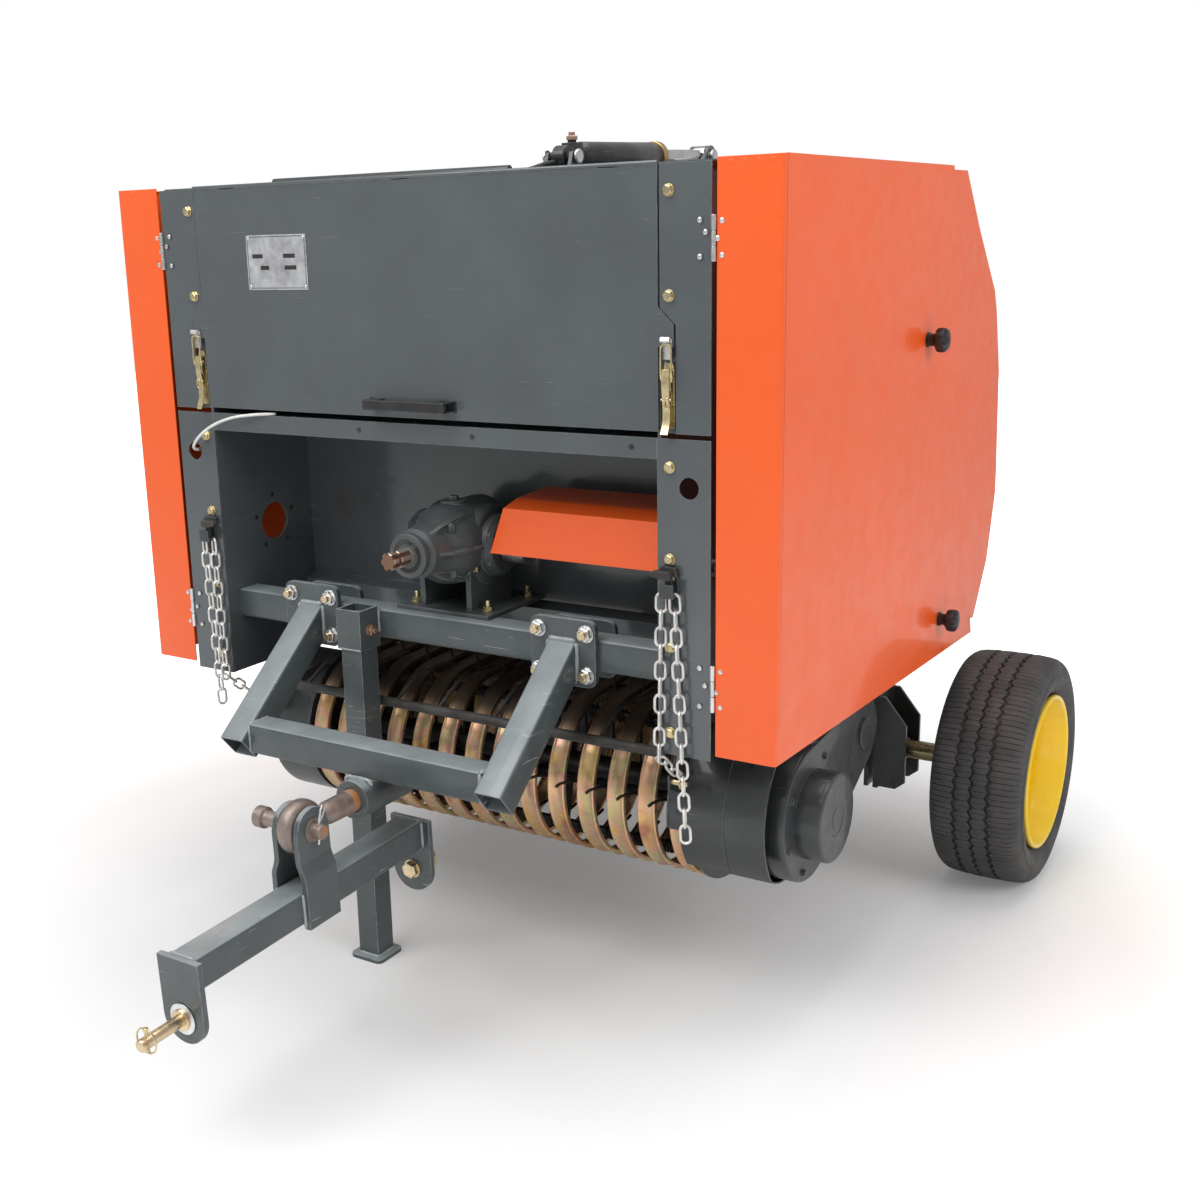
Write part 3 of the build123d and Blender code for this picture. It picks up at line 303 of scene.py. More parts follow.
def paint(name, color, rough=0.28, coat=0.5, dust=0.15, scratches=0.3, waves=0.05, scuffs=0.0,
          edge=0.0012, top=0.0, edge_wear_and_highlight=0.0, drift=0.09):
    """Sprayed paint: colour drift, orange peel, scratches, dust, upper faces painted lighter as painted top
    light, bare chips, and worn edges lightened further as painted edge highlights.
    """
    n = Nodes(name)
    drifted = n.cloud((5, 3), (0.35, shade(color, 1 - drift)), (0.7, shade(color, 1 + drift)))
    dusty = n.times(n.cloud((16, 6, 0.65), (0.45, 0.0), (0.8, 1.0)), dust)
    result = n.mix(dusty, drifted, tuple(0.5 * c + 0.20 for c in color))
    # Upper faces painted lighter in patches: painted top light, where light from above falls.
    if top:
        upper = n.ramp(n.part("Z", n.normal()), (0.5, 0.0), (0.8, 1.0))
        patchy = n.cloud((9, 5, 0.6), (0.3, 0.55), (0.7, 1.0))
        result = n.mix(n.times(upper, patchy, top), result, (0.42, 0.47, 0.48))
    lines = (60, 2, 0.5, n.stretched((0.25, 0.25, 6.0), (0.5, 0.35, 0.2)), 0.6)
    lines = n.times(n.cloud(lines, (0.685, 0.0), (0.70, 1.0)), n.cloud((7, 2), (0.5, 0.0), (0.62, 1.0)))
    result = n.mix(n.times(lines, scratches), result, (0.42, 0.43, 0.44))
    if scuffs:
        chips = n.cloud((95, 6, 0.7), (0.69, 0.0), (0.71, 1.0))
        zone = n.cloud((7, 2), (0.46, 0.0), (0.6, 1.0))
        result = n.mix(n.times(chips, zone, scuffs), result, (0.55, 0.56, 0.55))
    # Light lines along convex edges, broken up by noise: partly worn paint, partly painted edge highlights.
    if edge_wear_and_highlight:
        edges = n.ramp(n.measure("DOT_PRODUCT", n.rounded(0.0022), n.normal()), (0.90, 1.0), (0.985, 0.0))
        edge_patches = n.cloud((40, 5, 0.7), (0.38, 0.0), (0.58, 1.0))
        result = n.mix(n.times(edges, edge_patches, edge_wear_and_highlight), result, (0.50, 0.53, 0.54))
    n.surface(result, n.cloud((22, 5), (0.3, rough * 0.8), (0.75, rough * 1.45)))
    n.shader.inputs["Coat Weight"].default_value = coat
    n.shader.inputs["Coat Roughness"].default_value = 0.08
    peel = n.times(n.noise(420, 2), 0.12)
    swell = n.times(n.noise(5, 1), waves * 60)
    return n.bump(n.math("ADD", peel, swell), 0.35, 0.0008, edge)


def metal(name, color, rough=0.35, spots=(0.0, (0.3, 0.15, 0.07)), metallic=1.0, grain=0.3, edge=0.0008):
    """Bare or plated metal with mottling and a share of spots, such as rust."""
    n = Nodes(name)
    drift = n.cloud((30, 5, 0.6), (0.3, shade(color, 0.72)), (0.7, shade(color, 1.12)))
    share, spot_color = spots
    mask = n.cloud((45, 8, 0.7), (0.62 - 0.3 * share, 0.0), (0.72 - 0.3 * share, 1.0))
    color = n.mix(n.times(mask, min(1.0, share * 3)), drift, spot_color)
    n.surface(color, n.cloud((60, 4), (0.3, rough * 0.7), (0.8, rough * 1.5)), metallic)
    return n.bump(n.noise(260, 5), grain, 0.0006, edge)


def iridescent(name):
    """Yellow zinc plating: gold, drifting to pink and green, browner towards the top."""
    n = Nodes(name)
    colors = n.cloud((6.5, 2, 0.5, n.stretched((1.6, 1.2, 1.2)), 0.4), (0.30, (0.50, 0.22, 0.15)),
                     (0.40, (0.72, 0.46, 0.17)), (0.47, (0.76, 0.42, 0.28)), (0.53, (0.60, 0.52, 0.25)),
                     (0.57, (0.72, 0.40, 0.30)), (0.68, (0.80, 0.56, 0.24)))
    high = n.ramp(n.part("Z"), (0.49, 0.0), (0.54, 1.0))
    result = n.mix(high, colors, (0.10, 0.07, 0.05))
    grime = n.cloud((24, 5, 0.6), (0.5, 0.0), (0.8, 0.5))
    rough = n.mix(high, n.cloud((40, 4), (0.3, 0.24), (0.8, 0.42)), (0.6, 0.6, 0.6))
    n.surface(n.mix(grime, result, (0.13, 0.09, 0.05)), rough, 0.7)
    return n.bump(n.noise(200, 4), 0.12, 0.0006)


def splined_steel(name):
    """Bright tooth tops over rusty roots, by the distance from the stub's axis."""
    n = Nodes(name)
    rise = n.math("SUBTRACT", n.part("Z"), PTO_Z * MM)
    across = n.part("X")
    reach = n.math("SQRT", n.math("ADD", n.times(across, across), n.times(rise, rise)))
    share = n.math("ADD", n.times(reach, 40.0), n.times(n.noise(90, 5, 0.7), 0.12))
    color = n.ramp(share, (0.68, (0.25, 0.14, 0.09)), (0.735, (0.50, 0.46, 0.43)))
    n.surface(color, n.cloud((60, 4), (0.3, 0.30), (0.8, 0.55)), 0.8)
    return n.bump(n.noise(260, 5), 0.4, 0.0006, 0.0008)


def rubber(name):
    n = Nodes(name)
    dusty = n.cloud((12, 6, 0.7), (0.4, (0.045, 0.045, 0.046)), (0.75, (0.085, 0.083, 0.078)))
    n.surface(dusty, n.cloud((30, 4), (0.3, 0.55), (0.8, 0.8)))
    return n.bump(n.noise(700, 3), 0.25, 0.0005)


def plastic(name, color, rough=0.35):
    n = Nodes(name)
    drift = n.cloud((40, 3), (0.3, shade(color, 0.8)), (0.7, shade(color, 1.15)))
    n.surface(drift, n.cloud((50, 3), (0.3, rough * 0.8), (0.8, rough * 1.3)))
    return n.bump(n.noise(500, 2), 0.1, 0.0004, 0.001)


def woven(name, color):
    n = Nodes(name)
    n.surface(n.cloud((60, 4), (0.3, shade(color, 0.8)), (0.7, shade(color, 1.05))), 0.85)
    fibres = n.new("TexVoronoi", Vector=n.coordinates, Scale=900)
    return n.bump(fibres.outputs["Distance"], 0.5, 0.0006)


GREY = paint("grey_paint", (0.078, 0.090, 0.096), 0.20, 0.55, 0.03, 0.15, 0.08, edge_wear_and_highlight=0.3)
# Worn grey whose upper faces get painted top light and whose edges get painted edge highlights.
GREY_WORN_TOP_LIT = paint("grey_paint_worn_top_lit", (0.064, 0.078, 0.082), 0.34, 0.25, 0.10, 0.7, 0.04, 0.8,
                  top=0.62, edge_wear_and_highlight=0.9)
BEAD = paint("bead_paint", (0.30, 0.32, 0.32), 0.30, 0.5, 0.4, 0.5, 0.04, 0.9, edge_wear_and_highlight=0.9)
MATTE = paint("matte_paint", (0.030, 0.028, 0.025), 0.60, 0.0, 0.25, 0.5, 0.04, 0.4, edge_wear_and_highlight=0.3)
DARK = paint("dark_paint", (0.030, 0.034, 0.036), 0.33, 0.3, 0.12, 0.5, 0.05, 0.3, edge_wear_and_highlight=0.3)
ORANGE = paint("orange_paint", (0.86, 0.108, 0.009), 0.34, 0.35, 0.0, 0.0, 0.015, edge=0.001, drift=0.02)
YELLOW = paint("yellow_paint", (0.92, 0.62, 0.010), 0.28, 0.4, 0.04, 0.1, 0.02)
CASTING = paint("gearbox_paint", (0.060, 0.068, 0.070), 0.42, 0.15, 0.20, 0.3, 0.05, 0.5, edge_wear_and_highlight=0.5)
BLACK = paint("black_paint", (0.012, 0.012, 0.013), 0.35, 0.3, 0.12, 0.2, 0.02, 0.1)
BANDS = iridescent("band_zinc")
GOLD = metal("gold_zinc", (0.74, 0.62, 0.36), 0.30, (0.14, (0.42, 0.28, 0.12)))
AXLE = metal("axle_zinc", (0.34, 0.30, 0.18), 0.30, (0.2, (0.20, 0.16, 0.09)), 0.9)
BRASS = metal("brass_pin", (0.80, 0.64, 0.42), 0.30, (0.10, (0.42, 0.26, 0.12)))
SILVER = metal("silver_zinc", (0.80, 0.80, 0.79), 0.28, (0.08, (0.40, 0.38, 0.34)))
GALVANISED = metal("chain_zinc", (0.86, 0.85, 0.82), 0.42, (0.08, (0.40, 0.39, 0.36)), 0.75, grain=0.4)
RUSTY = metal("rusty_steel", (0.34, 0.28, 0.245), 0.46, (0.22, (0.36, 0.20, 0.12)), 0.7, 0.7)
RUST = metal("orange_rust", (0.46, 0.20, 0.075), 0.6, (0.5, (0.30, 0.22, 0.18)), 0.3, 0.9)
COPPER = metal("pin_steel", (0.55, 0.36, 0.26), 0.34, (0.22, (0.36, 0.16, 0.08)), 0.9)
STEEL = metal("roller_steel", (0.46, 0.46, 0.46), 0.4, (0.35, (0.26, 0.19, 0.14)), 0.9, 0.6)
CHROME = metal("chrome_rod", (0.78, 0.78, 0.79), 0.08, (0.0, (0.3, 0.3, 0.3)), grain=0.03)
BRONZE = metal("bronze_ring", (0.62, 0.42, 0.20), 0.3)
ALLOY = metal("plate_alloy", (0.70, 0.71, 0.73), 0.34, (0.0, (0.4, 0.4, 0.4)), 0.85, 0.15)
TINE = metal("tine_steel", (0.035, 0.032, 0.030), 0.42, (0.12, (0.12, 0.07, 0.04)), 0.6, 0.4)
TYRE = rubber("tyre_rubber")
SPLINES = splined_steel("spline_steel")
KNOB = plastic("knob_plastic", (0.012, 0.012, 0.013))
HOSE = plastic("hose_rubber", (0.016, 0.016, 0.017), 0.5)
CORD = woven("white_cord", (0.80, 0.80, 0.77))


# ---- pieces
def piece(name, shape, body, material, slot, replaces=(), bevel=0.0, segments=2, angle=32):
    """Turns a shape into an object that rides on a body; bevel is in millimetres."""
    mesh = bpy.data.meshes.new(name)
    mesh.from_pydata([world(p) for p in shape.points], [], shape.faces)
    tidy = bmesh.new()
    tidy.from_mesh(mesh)
    bmesh.ops.remove_doubles(tidy, verts=tidy.verts, dist=1e-6)
    bmesh.ops.recalc_face_normals(tidy, faces=tidy.faces)
    tidy.to_mesh(mesh)
    tidy.free()
    for polygon in mesh.polygons:
        polygon.use_smooth = True
    mesh.set_sharp_from_angle(angle=math.radians(angle))
    mesh.materials.append(material)
    thing = bpy.data.objects.new(name, mesh)
    bpy.context.scene.collection.objects.link(thing)
    if bevel:
        rounding = thing.modifiers.new("edges", "BEVEL")
        rounding.width = bevel * MM
        rounding.segments = segments
        rounding.limit_method = "ANGLE"
        rounding.angle_limit = math.radians(angle)
        rounding.harden_normals = True
    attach(thing, body)
    if replaces:
        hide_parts(*([replaces] if isinstance(replaces, str) else replaces))
    return thing


def dress(material, *nodes):
    """Gives CAD nodes that stay a finished material."""
    for name in nodes:
        node = frame["nodes"][name]
        for slot in node.material_slots:
            slot.material = material


def both(shape):
    """The shape and its mirror image, in one."""
    return Shape().join(shape).join(shape.mirrored())


def on_side(shape, name):
    """The left side's shape, or its mirror image for the right side."""
    return shape.mirrored() if name == "right" else shape


# ---- CAD nodes kept, with their materials
dress(GREY, "side_walls", "front_plates", "front_panel", "twine_box_floor", "roof", "hatch",
      "tailgate_walls", "tailgate_skin", "tailgate_tube", "chamber_floor")
dress(GREY_WORN_TOP_LIT, "stand_sleeve", "stand_leg")
dress(DARK, "pickup_ends", "pickup_tube", "axle_beam", "axle_brackets", "pickup_shields", "chain_hooks",
      "cylinder_bracket", "roof_shaft")
dress(ORANGE, "tailgate_cover_left", "tailgate_cover_right", "shaft_guard")
dress(STEEL, "front_rollers", "tailgate_rollers", "tailgate_shaft", "cross_shaft")
dress(AXLE, "stub_axles")
dress(GOLD, "lift_bolts")
dress(CHROME, "cylinder_rod")

# ---- wheels
WHEEL = (839, 1066, 260)
TYRE_R = 260
PITCHES = 64
CUTS = (0.03, 0.53)  # where slits cross the shoulders, in parts of a tread pitch
STEPS = [0.0, CUTS[0], 0.06, 0.28, 0.50, CUTS[1], 0.56, 0.78]
GROOVES = [(-38, 8.0, 0.0), (-2, 6.5, 0.5), (34, 8.0, 0.0)]  # place, width, phase


def zigzag(t):
    return 3.2 * max(-1.0, min(1.0, 1.7 * (4 * abs(t % 1.0 - 0.5) - 1)))


def tread_profile(pitch_place):
    """Points (x, radius) across the tyre's outside at one place in a tread pitch."""
    slit = int(pitch_place in CUTS)
    long_slit = int(pitch_place == CUTS[0])
    shoulder = [(98.5, 229), (96.5, 239 - slit), (93, 246.5 - 1.6 * slit), (87, 251.8 - 2.6 * slit),
                (80, 255.4 - 3.2 * slit), (69, 257.4 - 3.4 * slit), (60, 258.2 - 3.4 * long_slit)]
    side = [(79, 172), (88, 182), (95, 192), (99.5, 204), (101.5, 214), (101, 222), (99.2, 223.2)]
    points = [(-x, r) for x, r in side + shoulder]
    for place, width, phase in GROOVES:
        middle = place + zigzag(pitch_place + phase)
        half = width / 2
        top = TYRE_R - 0.00045 * place * place
        edge = top - 2.2 * slit
        flank = [(half + 4, edge), (half, edge - 1.0), (half - 1.2, top - 8.5)]
        points += [(middle - x, r) for x, r in flank] + [(middle + x, r) for x, r in flank[::-1]]
        if place != GROOVES[-1][0]:
            points.append((place + 18, TYRE_R))
    return points + (side + shoulder)[::-1]


def tyre_shape():
    """Tyre about the X axis at the origin, with three zigzag grooves between four ribs."""
    rings = []
    for pitch in range(PITCHES):
        for place in STEPS:
            angle = 2 * math.pi * (pitch + place) / PITCHES
            c, s = math.cos(angle), math.sin(angle)
            rings.append([(x, r * c, r * s) for x, r in tread_profile(place)])
    return Shape().rings(rings, closed=True)


def rim_shape():
    """Rim about the X axis at the origin: rolled lips, well, and a dished disc set deep inside."""
    barrel = [
        (-96, 172), (-97, 169), (-95.5, 165.5), (-91, 164), (-84, 163), (-80, 158), (-62, 154), (-52, 146),
        (-20, 142), (30, 144), (52, 148), (66, 156), (80, 159), (86, 163), (93, 164.5), (97, 167), (98, 171),
        (96.5, 174), (92, 175.5), (86, 174), (83, 170), (78, 166.5), (64, 161), (50, 153), (30, 149),
        (-20, 147), (-52, 151), (-62, 159), (-78, 164), (-83, 170), (-86, 174), (-92, 175),
    ]
    shape = Shape().lathe((0, 0, 0), "x", barrel + [barrel[0]], 96, caps=False)
    disc = [
        (14, 0.1), (14, 22), (12, 27), (4, 30), (-2, 34), (-4, 56), (2, 74), (12, 92), (18, 104), (19, 116),
        (14, 128), (8, 140), (6, 147), (2, 148), (4, 139), (10, 126), (14, 114), (13, 104), (7, 92), (-3, 74),
        (-9, 56), (-7, 30), (-7, 0.1),
    ]
    shape.lathe((0, 0, 0), "x", disc, 64, caps=False)
    return shape


def wheel_bolts():
    shape = Shape()
    for k in range(5):
        y, z = polar((0, 0), 49, 72 * k)
        shape.lathe((-3, y, z), "x", [(0, 13), (3, 11.5)], 16)
        shape.hexagon((0, y, z), "x", 18, 13, 2)
        shape.lathe((13, y, z), "x", [(0, 6), (7, 6), (8, 5)], 12)
    return shape.lathe((14, 0, 0), "x", [(0, 24), (16, 24), (20, 21), (22, 14), (22.5, 0.1)], 32)


valve = Shape().rod((40, 0, 146), (62, 0, 138), 4, n=12).rod((62, 0, 138), (72, 0, 134), 3, n=12)
wheel = [Shape().join(shape, WHEEL) for shape in (tyre_shape(), rim_shape(), wheel_bolts(), valve)]
for name in ("left", "right"):
    body = "wheel_" + name
    tyre, rim, bolts, valve = (on_side(shape, name) for shape in wheel)
    piece("tyre_" + name + "_tread", tyre, body, TYRE, "rubber", "tyre_" + name, angle=38)
    piece("rim_" + name + "_dish", rim, body, YELLOW, "yellow", "rim_" + name, angle=50)
    piece("wheel_bolts_" + name, bolts, body, SILVER, "bare", bevel=0.5)
    piece("valve_" + name, valve, body, HOSE, "rubber")

# stub axles' collars and the axle feet's bolts
collars = Shape()
for x, r in ((557, 36), (566, 34), (600, 26)):
    collars.disc((x, *WHEEL[1:]), "x", r, 11, 2)
collars.lathe((700, *WHEEL[1:]), "x", [(0, 25), (3, 27), (16, 27), (20, 25)], 32)
piece("stub_collars", both(collars), "frame", DARK, "dark", bevel=0.5)
feet = Shape()
for y, z in ((1030, 200), (1030, 320), (1102, 200), (1102, 320)):
    feet.bolt((557, y, z), "x", 12, 6)
for y, z in ((790, 525), (850, 500), (730, 520), (960, 400)):
    feet.bolt((533, y, z), "x", 12, 5)
piece("axle_bolts", both(feet), "frame", GOLD, "bare", bevel=0.4)


# ---- side covers
def sheet_path(line, axis, a, b, thickness):
    """A bent sheet: its middle line of two coordinates, extruded along the axis."""
    line = [Vector(p) for p in line]
    rings = []
    for i, p in enumerate(line):
        way_in = (p - line[i - 1] if i else line[1] - p).normalized()
        way_out = (line[i + 1] - p).normalized() if i < len(line) - 1 else way_in
        normal = Vector((-(way_in + way_out).y, (way_in + way_out).x)).normalized()
        offset = normal * thickness / 2 / max(0.4, normal.dot(Vector((-way_in.y, way_in.x))))
        left, right = p + offset, p - offset
        rings.append([placed(q, axis, t) for q, t in ((left, a), (right, a), (right, b), (left, b))])
    return Shape().rings(rings)


def cover_sheet():
    """Left cover: side sheet and front strip folded from one sheet, with turned-in edges."""
    fold = [(627, 1.25), (734, 1.25), (737.3, 2.2), (738.75, 5.5), (738.75, 14)]
    shape = sheet_path(fold, "z", 584, 1578, 2.5)
    corner = 584 - (584 - 557) * 14 / 1089
    side = [(14, corner), (14, 1578), (829, 1578), (896, 1332), (1001, 935), (1089, 557)]
    shape.prism(side, "x", 737.5, 740)
    top, bottom = [(8, 1576.75), (826, 1576.75)], [(4, 585.2), (1086, 558.2)]
    rear = [(828, 1576), (895, 1331), (999.5, 935), (1087.5, 558)]
    for line, edge in ((top, 738.5), (rear, 739), (bottom, 738.5)):
        shape.join(sheet_path(line, "x", 733, edge, 2.5))
    return shape


def cover_tacks():
    """Small weld dimples along the top of the side sheet and the front strip."""
    shape = Shape()
    for k in range(9):
        y = 50 + 88 * k
        shape.lathe((740, y, 1570), "x", [(-0.4, 7), (0.25, 4.5), (0.5, 2)], 14)
    for k in range(4):
        shape.lathe((650 + 24 * k, 0, 1569), "y", [(0.3, 6), (-0.3, 4), (-0.45, 2)], 14)
    return shape


def star_knob(y, z):
    """Black star knob on its stud, standing out of the left cover."""
    shape = Shape().lathe((740, y, z), "x", [(0, 15), (3, 15), (4, 12.5), (15, 12), (17, 13)], 32)
    rings = []
    for x, r, depth in ((756, 15, 0.3), (758, 20, 0.8), (761, 23.5, 1), (770, 24.5, 1), (776, 23.5, 1),
                        (779, 20.5, 0.8), (781, 15, 0.4), (781.5, 9, 0.0)):
        lobes = [(a, r - 3.6 * depth * (0.5 - 0.5 * math.cos(7 * a)) ** 2) for a in circle(72)]
        rings.append([(x, y + lobe * math.cos(a), z + lobe * math.sin(a)) for a, lobe in lobes])
    return shape.rings(rings).lathe((781.5, y, z), "x", [(0, 8), (1.2, 7.5), (1.2, 0.1)], 24)


def blind_rivets(spots, y, z0):
    """Blind rivets at (x, height over z0) on a sheet that faces forward."""
    shape = Shape()
    for x, up in spots:
        shape.lathe((x, y, z0 + up), "-y", [(0, 4.6), (0.8, 4.4), (1.4, 3.2), (1.5, 1.6)], 16)
        shape.lathe((x, y, z0 + up), "-y", [(1.2, 1.7), (1.7, 1.3)], 10)
    return shape


HINGE = (622, -1)  # pin (x, y)
cover, tacks = cover_sheet(), cover_tacks()
knobs = star_knob(706, 1246).join(star_knob(849, 645))
HINGES = ((664, 748), (1418, 1491))  # lower and upper end of each hinge
hinges, rivets, plate_rivets = Shape(), Shape(), Shape()
for z0, z1 in HINGES:
    third = (z1 - z0) / 3
    hinges.disc((*HINGE, z0 + third + 0.3), "z", 4, third - 0.6, 0.6, 20)
    rivets.join(blind_rivets([(636, 10), (628, 36), (636, z1 - z0 - 10)], 0, z0))
    plate_rivets.join(blind_rivets([(598, 8), (608, 46), (598, z1 - z0 - 8)], -2.5, z0))
    for low in (z0, z1 - third + 0.3):
        plate_rivets.disc((*HINGE, low), "z", 4.4, third - 0.3, 0.6, 20)
for name in ("left", "right"):
    body = "cover_" + name
    piece("cover_sheet_" + name, on_side(cover, name), body, ORANGE, "orange", "cover_" + name, bevel=0.8)
    piece("cover_tacks_" + name, on_side(tacks, name), body, ORANGE, "orange", angle=60)
    piece("cover_knobs_" + name, on_side(knobs, name), body, KNOB, "dark", bevel=0.5)
    piece("cover_hinge_" + name, on_side(hinges, name), body, SILVER, "zinc", bevel=0.3)
    piece("cover_rivets_" + name, on_side(rivets, name), body, SILVER, "zinc")
piece("hinge_rivets", both(plate_rivets), "frame", SILVER, "zinc")

# ---- front: bolts, plate, holes, latches
front_bolts = Shape()
for z in (1531, 1365, 1083, 925, 770, 614):
    front_bolts.bolt((541, 0, z), "-y", 9.5)
piece("front_bolts", both(front_bolts), "frame", GOLD, "bare", bevel=0.4)

x0, x1, z0, z1 = -387, -233, 1377, 1481
piece("nameplate", Shape().box(x0, x1, -3.1, -2, z0, z1), "hatch", ALLOY, "zinc", bevel=0.4)
studs = Shape()
for x in (x0 + 6, x1 - 6):
    for z in (z0 + 6, z1 - 6):
        studs.lathe((x, -3.1, z), "-y", [(0, 3.6), (0.9, 3.06), (1.62, 1.62), (1.8, 0.36)], 12)
border = Shape()
x0, x1, z0, z1 = x0 + 3, x1 - 3, z0 + 3, z1 - 3
for a, b in ((z0, z0 + 1.2), (z1 - 1.2, z1)):
    border.box(x0, x1, -3.25, -3, a, b)
for a, b in ((x0, x0 + 1.2), (x1 - 1.2, x1)):
    border.box(a, b, -3.25, -3, z0, z1)
for a, b, c in ((-372, -345, 1437), (-292, -262, 1437), (-352, -330, 1415), (-290, -260, 1415)):
    border.box(a, b, -3.25, -3, c, c + 8)
piece("nameplate_fields", border, "hatch", BLACK, "dark")
piece("nameplate_rivets", studs, "hatch", SILVER, "zinc")


def hatch_handle():
    """Rounded grip between two hollow feet, with a flange at each end."""
    grip = [(-34.5, 1159), (-33, 1157.5), (-27, 1157.5), (-25.5, 1159), (-25.5, 1175), (-27, 1176.5),
            (-33, 1176.5), (-34.5, 1175)]
    shape = Shape().prism(grip, "x", -90, 99)
    for x0, x1, cheek, flange in ((-90, -62, -64.5, -96), (71, 99, 71, 99)):
        shape.box(x0, x1, -34, -2, 1158, 1161)
        shape.box(x0, x1, -34, -2, 1173, 1176)
        shape.box(cheek, cheek + 2.5, -34, -2, 1158, 1176)
        shape.box(flange, flange + 6, -4.5, -2, 1156, 1178)
    return shape


piece("handle_grip", hatch_handle(), "hatch", BLACK, "dark", "hatch_handle", bevel=0.8)


def latch():
    """Left toggle latch on the frame: base, bearing, folded lever and its pivot."""
    shape = Shape()
    shape.prism([(529, 1148), (548, 1148), (549, 1156), (549, 1244), (546, 1256), (531, 1256), (528, 1244),
                 (528, 1156)], "y", 3, 7)
    for x in (529.5, 545):
        shape.prism([(3, 1204), (3, 1244), (-6, 1244), (-9, 1236), (-7, 1212)], "x", x, x + 2.5)
    shape.rod((526.5, -4, 1234), (550.5, -4, 1234), 3, n=16, chamfer=0.6)
    lever = [(-8, 1246), (-10.5, 1232), (-9, 1212), (-5.5, 1180), (-6, 1162), (-11, 1148), (-15.5, 1139)]
    shape.join(sheet_path(lever, "x", 531.5, 545.5, 2.2))
    for x in (531.5, 543.5):
        shape.prism([(-8, 1240), (-10, 1212), (-5.5, 1186), (2, 1186), (2, 1236)], "x", x, x + 2)
    shape.rod((529, -6.5, 1196), (548, -6.5, 1196), 2.2, n=12)
    loop = [(541 + 4.2 * math.cos(a), -9.5, 1190 + 9 * math.sin(a)) for a in circle(16)]
    return shape.tube(loop, 1.1, 8, closed=True)


def latch_wire():
    """Wire bail from the lever's pivot up over the hook."""
    path = [(531, -5, 1226), (530, -8, 1230), (529.6, -9.5, 1240), (529.6, -9.5, 1278), (530.6, -9.5, 1284),
            (534, -9.5, 1287), (545, -9.5, 1287), (548.4, -9.5, 1284), (549.4, -9.5, 1278),
            (549.4, -9.5, 1240), (549, -8, 1230), (548, -5, 1226)]
    return Shape().tube(path, 1.7, 10)


def latch_hook():
    """Left hook on the hatch that the bail pulls on."""
    line = [(-3, 1262), (-3, 1294), (-6, 1298), (-12, 1298), (-14, 1294), (-13.4, 1291)]
    return sheet_path(line, "x", 531, 548, 2.4)


piece("latches", both(latch()), "frame", GOLD, "zinc", "hatch_latches", bevel=0.4)
piece("latch_wires", both(latch_wire()), "frame", GOLD, "zinc")
piece("latch_hooks", both(latch_hook()), "hatch", SILVER, "zinc", "hatch_hooks", bevel=0.4)


WALL_HOLE = (160, 878)  # middle (y, z) of the opening in the recess's side wall


def recess_holes():
    """Holes drawn as shallow black cups, painted shade for their dark insides: on the twine box's front band
    and round the wall's opening.
    """
    shape = Shape()
    for x in (-130, 136, 468):
        shape.lathe((x, -0.25, 1113), "y", [(0, 0.1), (0, 5), (0.3, 5.6)], 20, caps=False)
    for a in (20, 92, 164, 236, 308):
        spot = (-516.8, *polar(WALL_HOLE, 58, a))
        shape.lathe(spot, "x", [(0, 0.1), (0, 4.5), (-0.2, 5)], 18, caps=False)
    return shape


piece("dark_holes", recess_holes(), "frame", BLACK, "dark")


# ---- weld beads
def bead(points, r, seed):
    """Weld bead: a lumpy half-sunk string of scales along a line, thinner at both ends."""
    line = [Vector(p) for p in points]
    spots = []
    for a, b in zip(line, line[1:]):
        count = max(2, int((b - a).length / 5))
        spots += [a + (b - a) * (i / count) for i in range(count)]
    spots.append(line[-1])
    radii = []
    for i in range(len(spots)):
        lumps = math.sin(i * 2.4 + seed) + math.sin(i * 5.3 + seed * 2)
        radii.append(r * (0.86 + 0.07 * lumps) * (0.55 if i in (0, len(spots) - 1) else 1))
    return Shape().tube(spots, radii, 8)


# ---- square tubes
TUBE = 60


def rounded_square(half_a, half_b, r, n=4):
    """Rounded rectangle as (a, b) points."""
    a, b = half_a - r, half_b - r
    points = []
    for corner, start in (((a, b), 0), ((-a, b), 90), ((-a, -b), 180), ((a, -b), 270)):
        points += arc(corner, r, start, start + 90, n)
    return points


def square_tube(start, end, cut=None):
    """Hollow tube with rounded corners between two points; a cut is (point, normal) of its end's plane."""
    start, end = Vector(start), Vector(end)
    along = (end - start).normalized()
    side = along.cross(way("z")).normalized()
    top = side.cross(along)
    outer, inner = rounded_square(TUBE / 2, TUBE / 2, 6), rounded_square(TUBE / 2 - 4, TUBE / 2 - 4, 2)

    def ring(section, at, plane=None):
        points = [at + side * a + top * b for a, b in section]
        if plane:
            point, normal = Vector(plane[0]), Vector(plane[1])
            points = [p + along * ((point - p).dot(normal) / along.dot(normal)) for p in points]
        return points

    rings = [ring(outer, start), ring(outer, end, cut), ring(inner, end, cut), ring(inner, start)]
    return Shape().rings(rings, closed=True)


beam = square_tube((-517, 68, 720), (517, 68, 720))
piece("beam_tube", beam, "frame", GREY_WORN_TOP_LIT, "grey", "beam")

ARM_TOP = Vector((304, 26, 708))
ARM_LOW = Vector((304, -212, 507))
arm = square_tube(ARM_LOW, ARM_TOP, ((0, 26, 0), (0, 1, 0)))


def flange(y0, y1, cut):
    outline = [(304 + a, 723.5 + b - cut) for a, b in rounded_square(70, 63.5 - cut, 18, 6)]
    return Shape().prism(outline, "y", y0, y1)


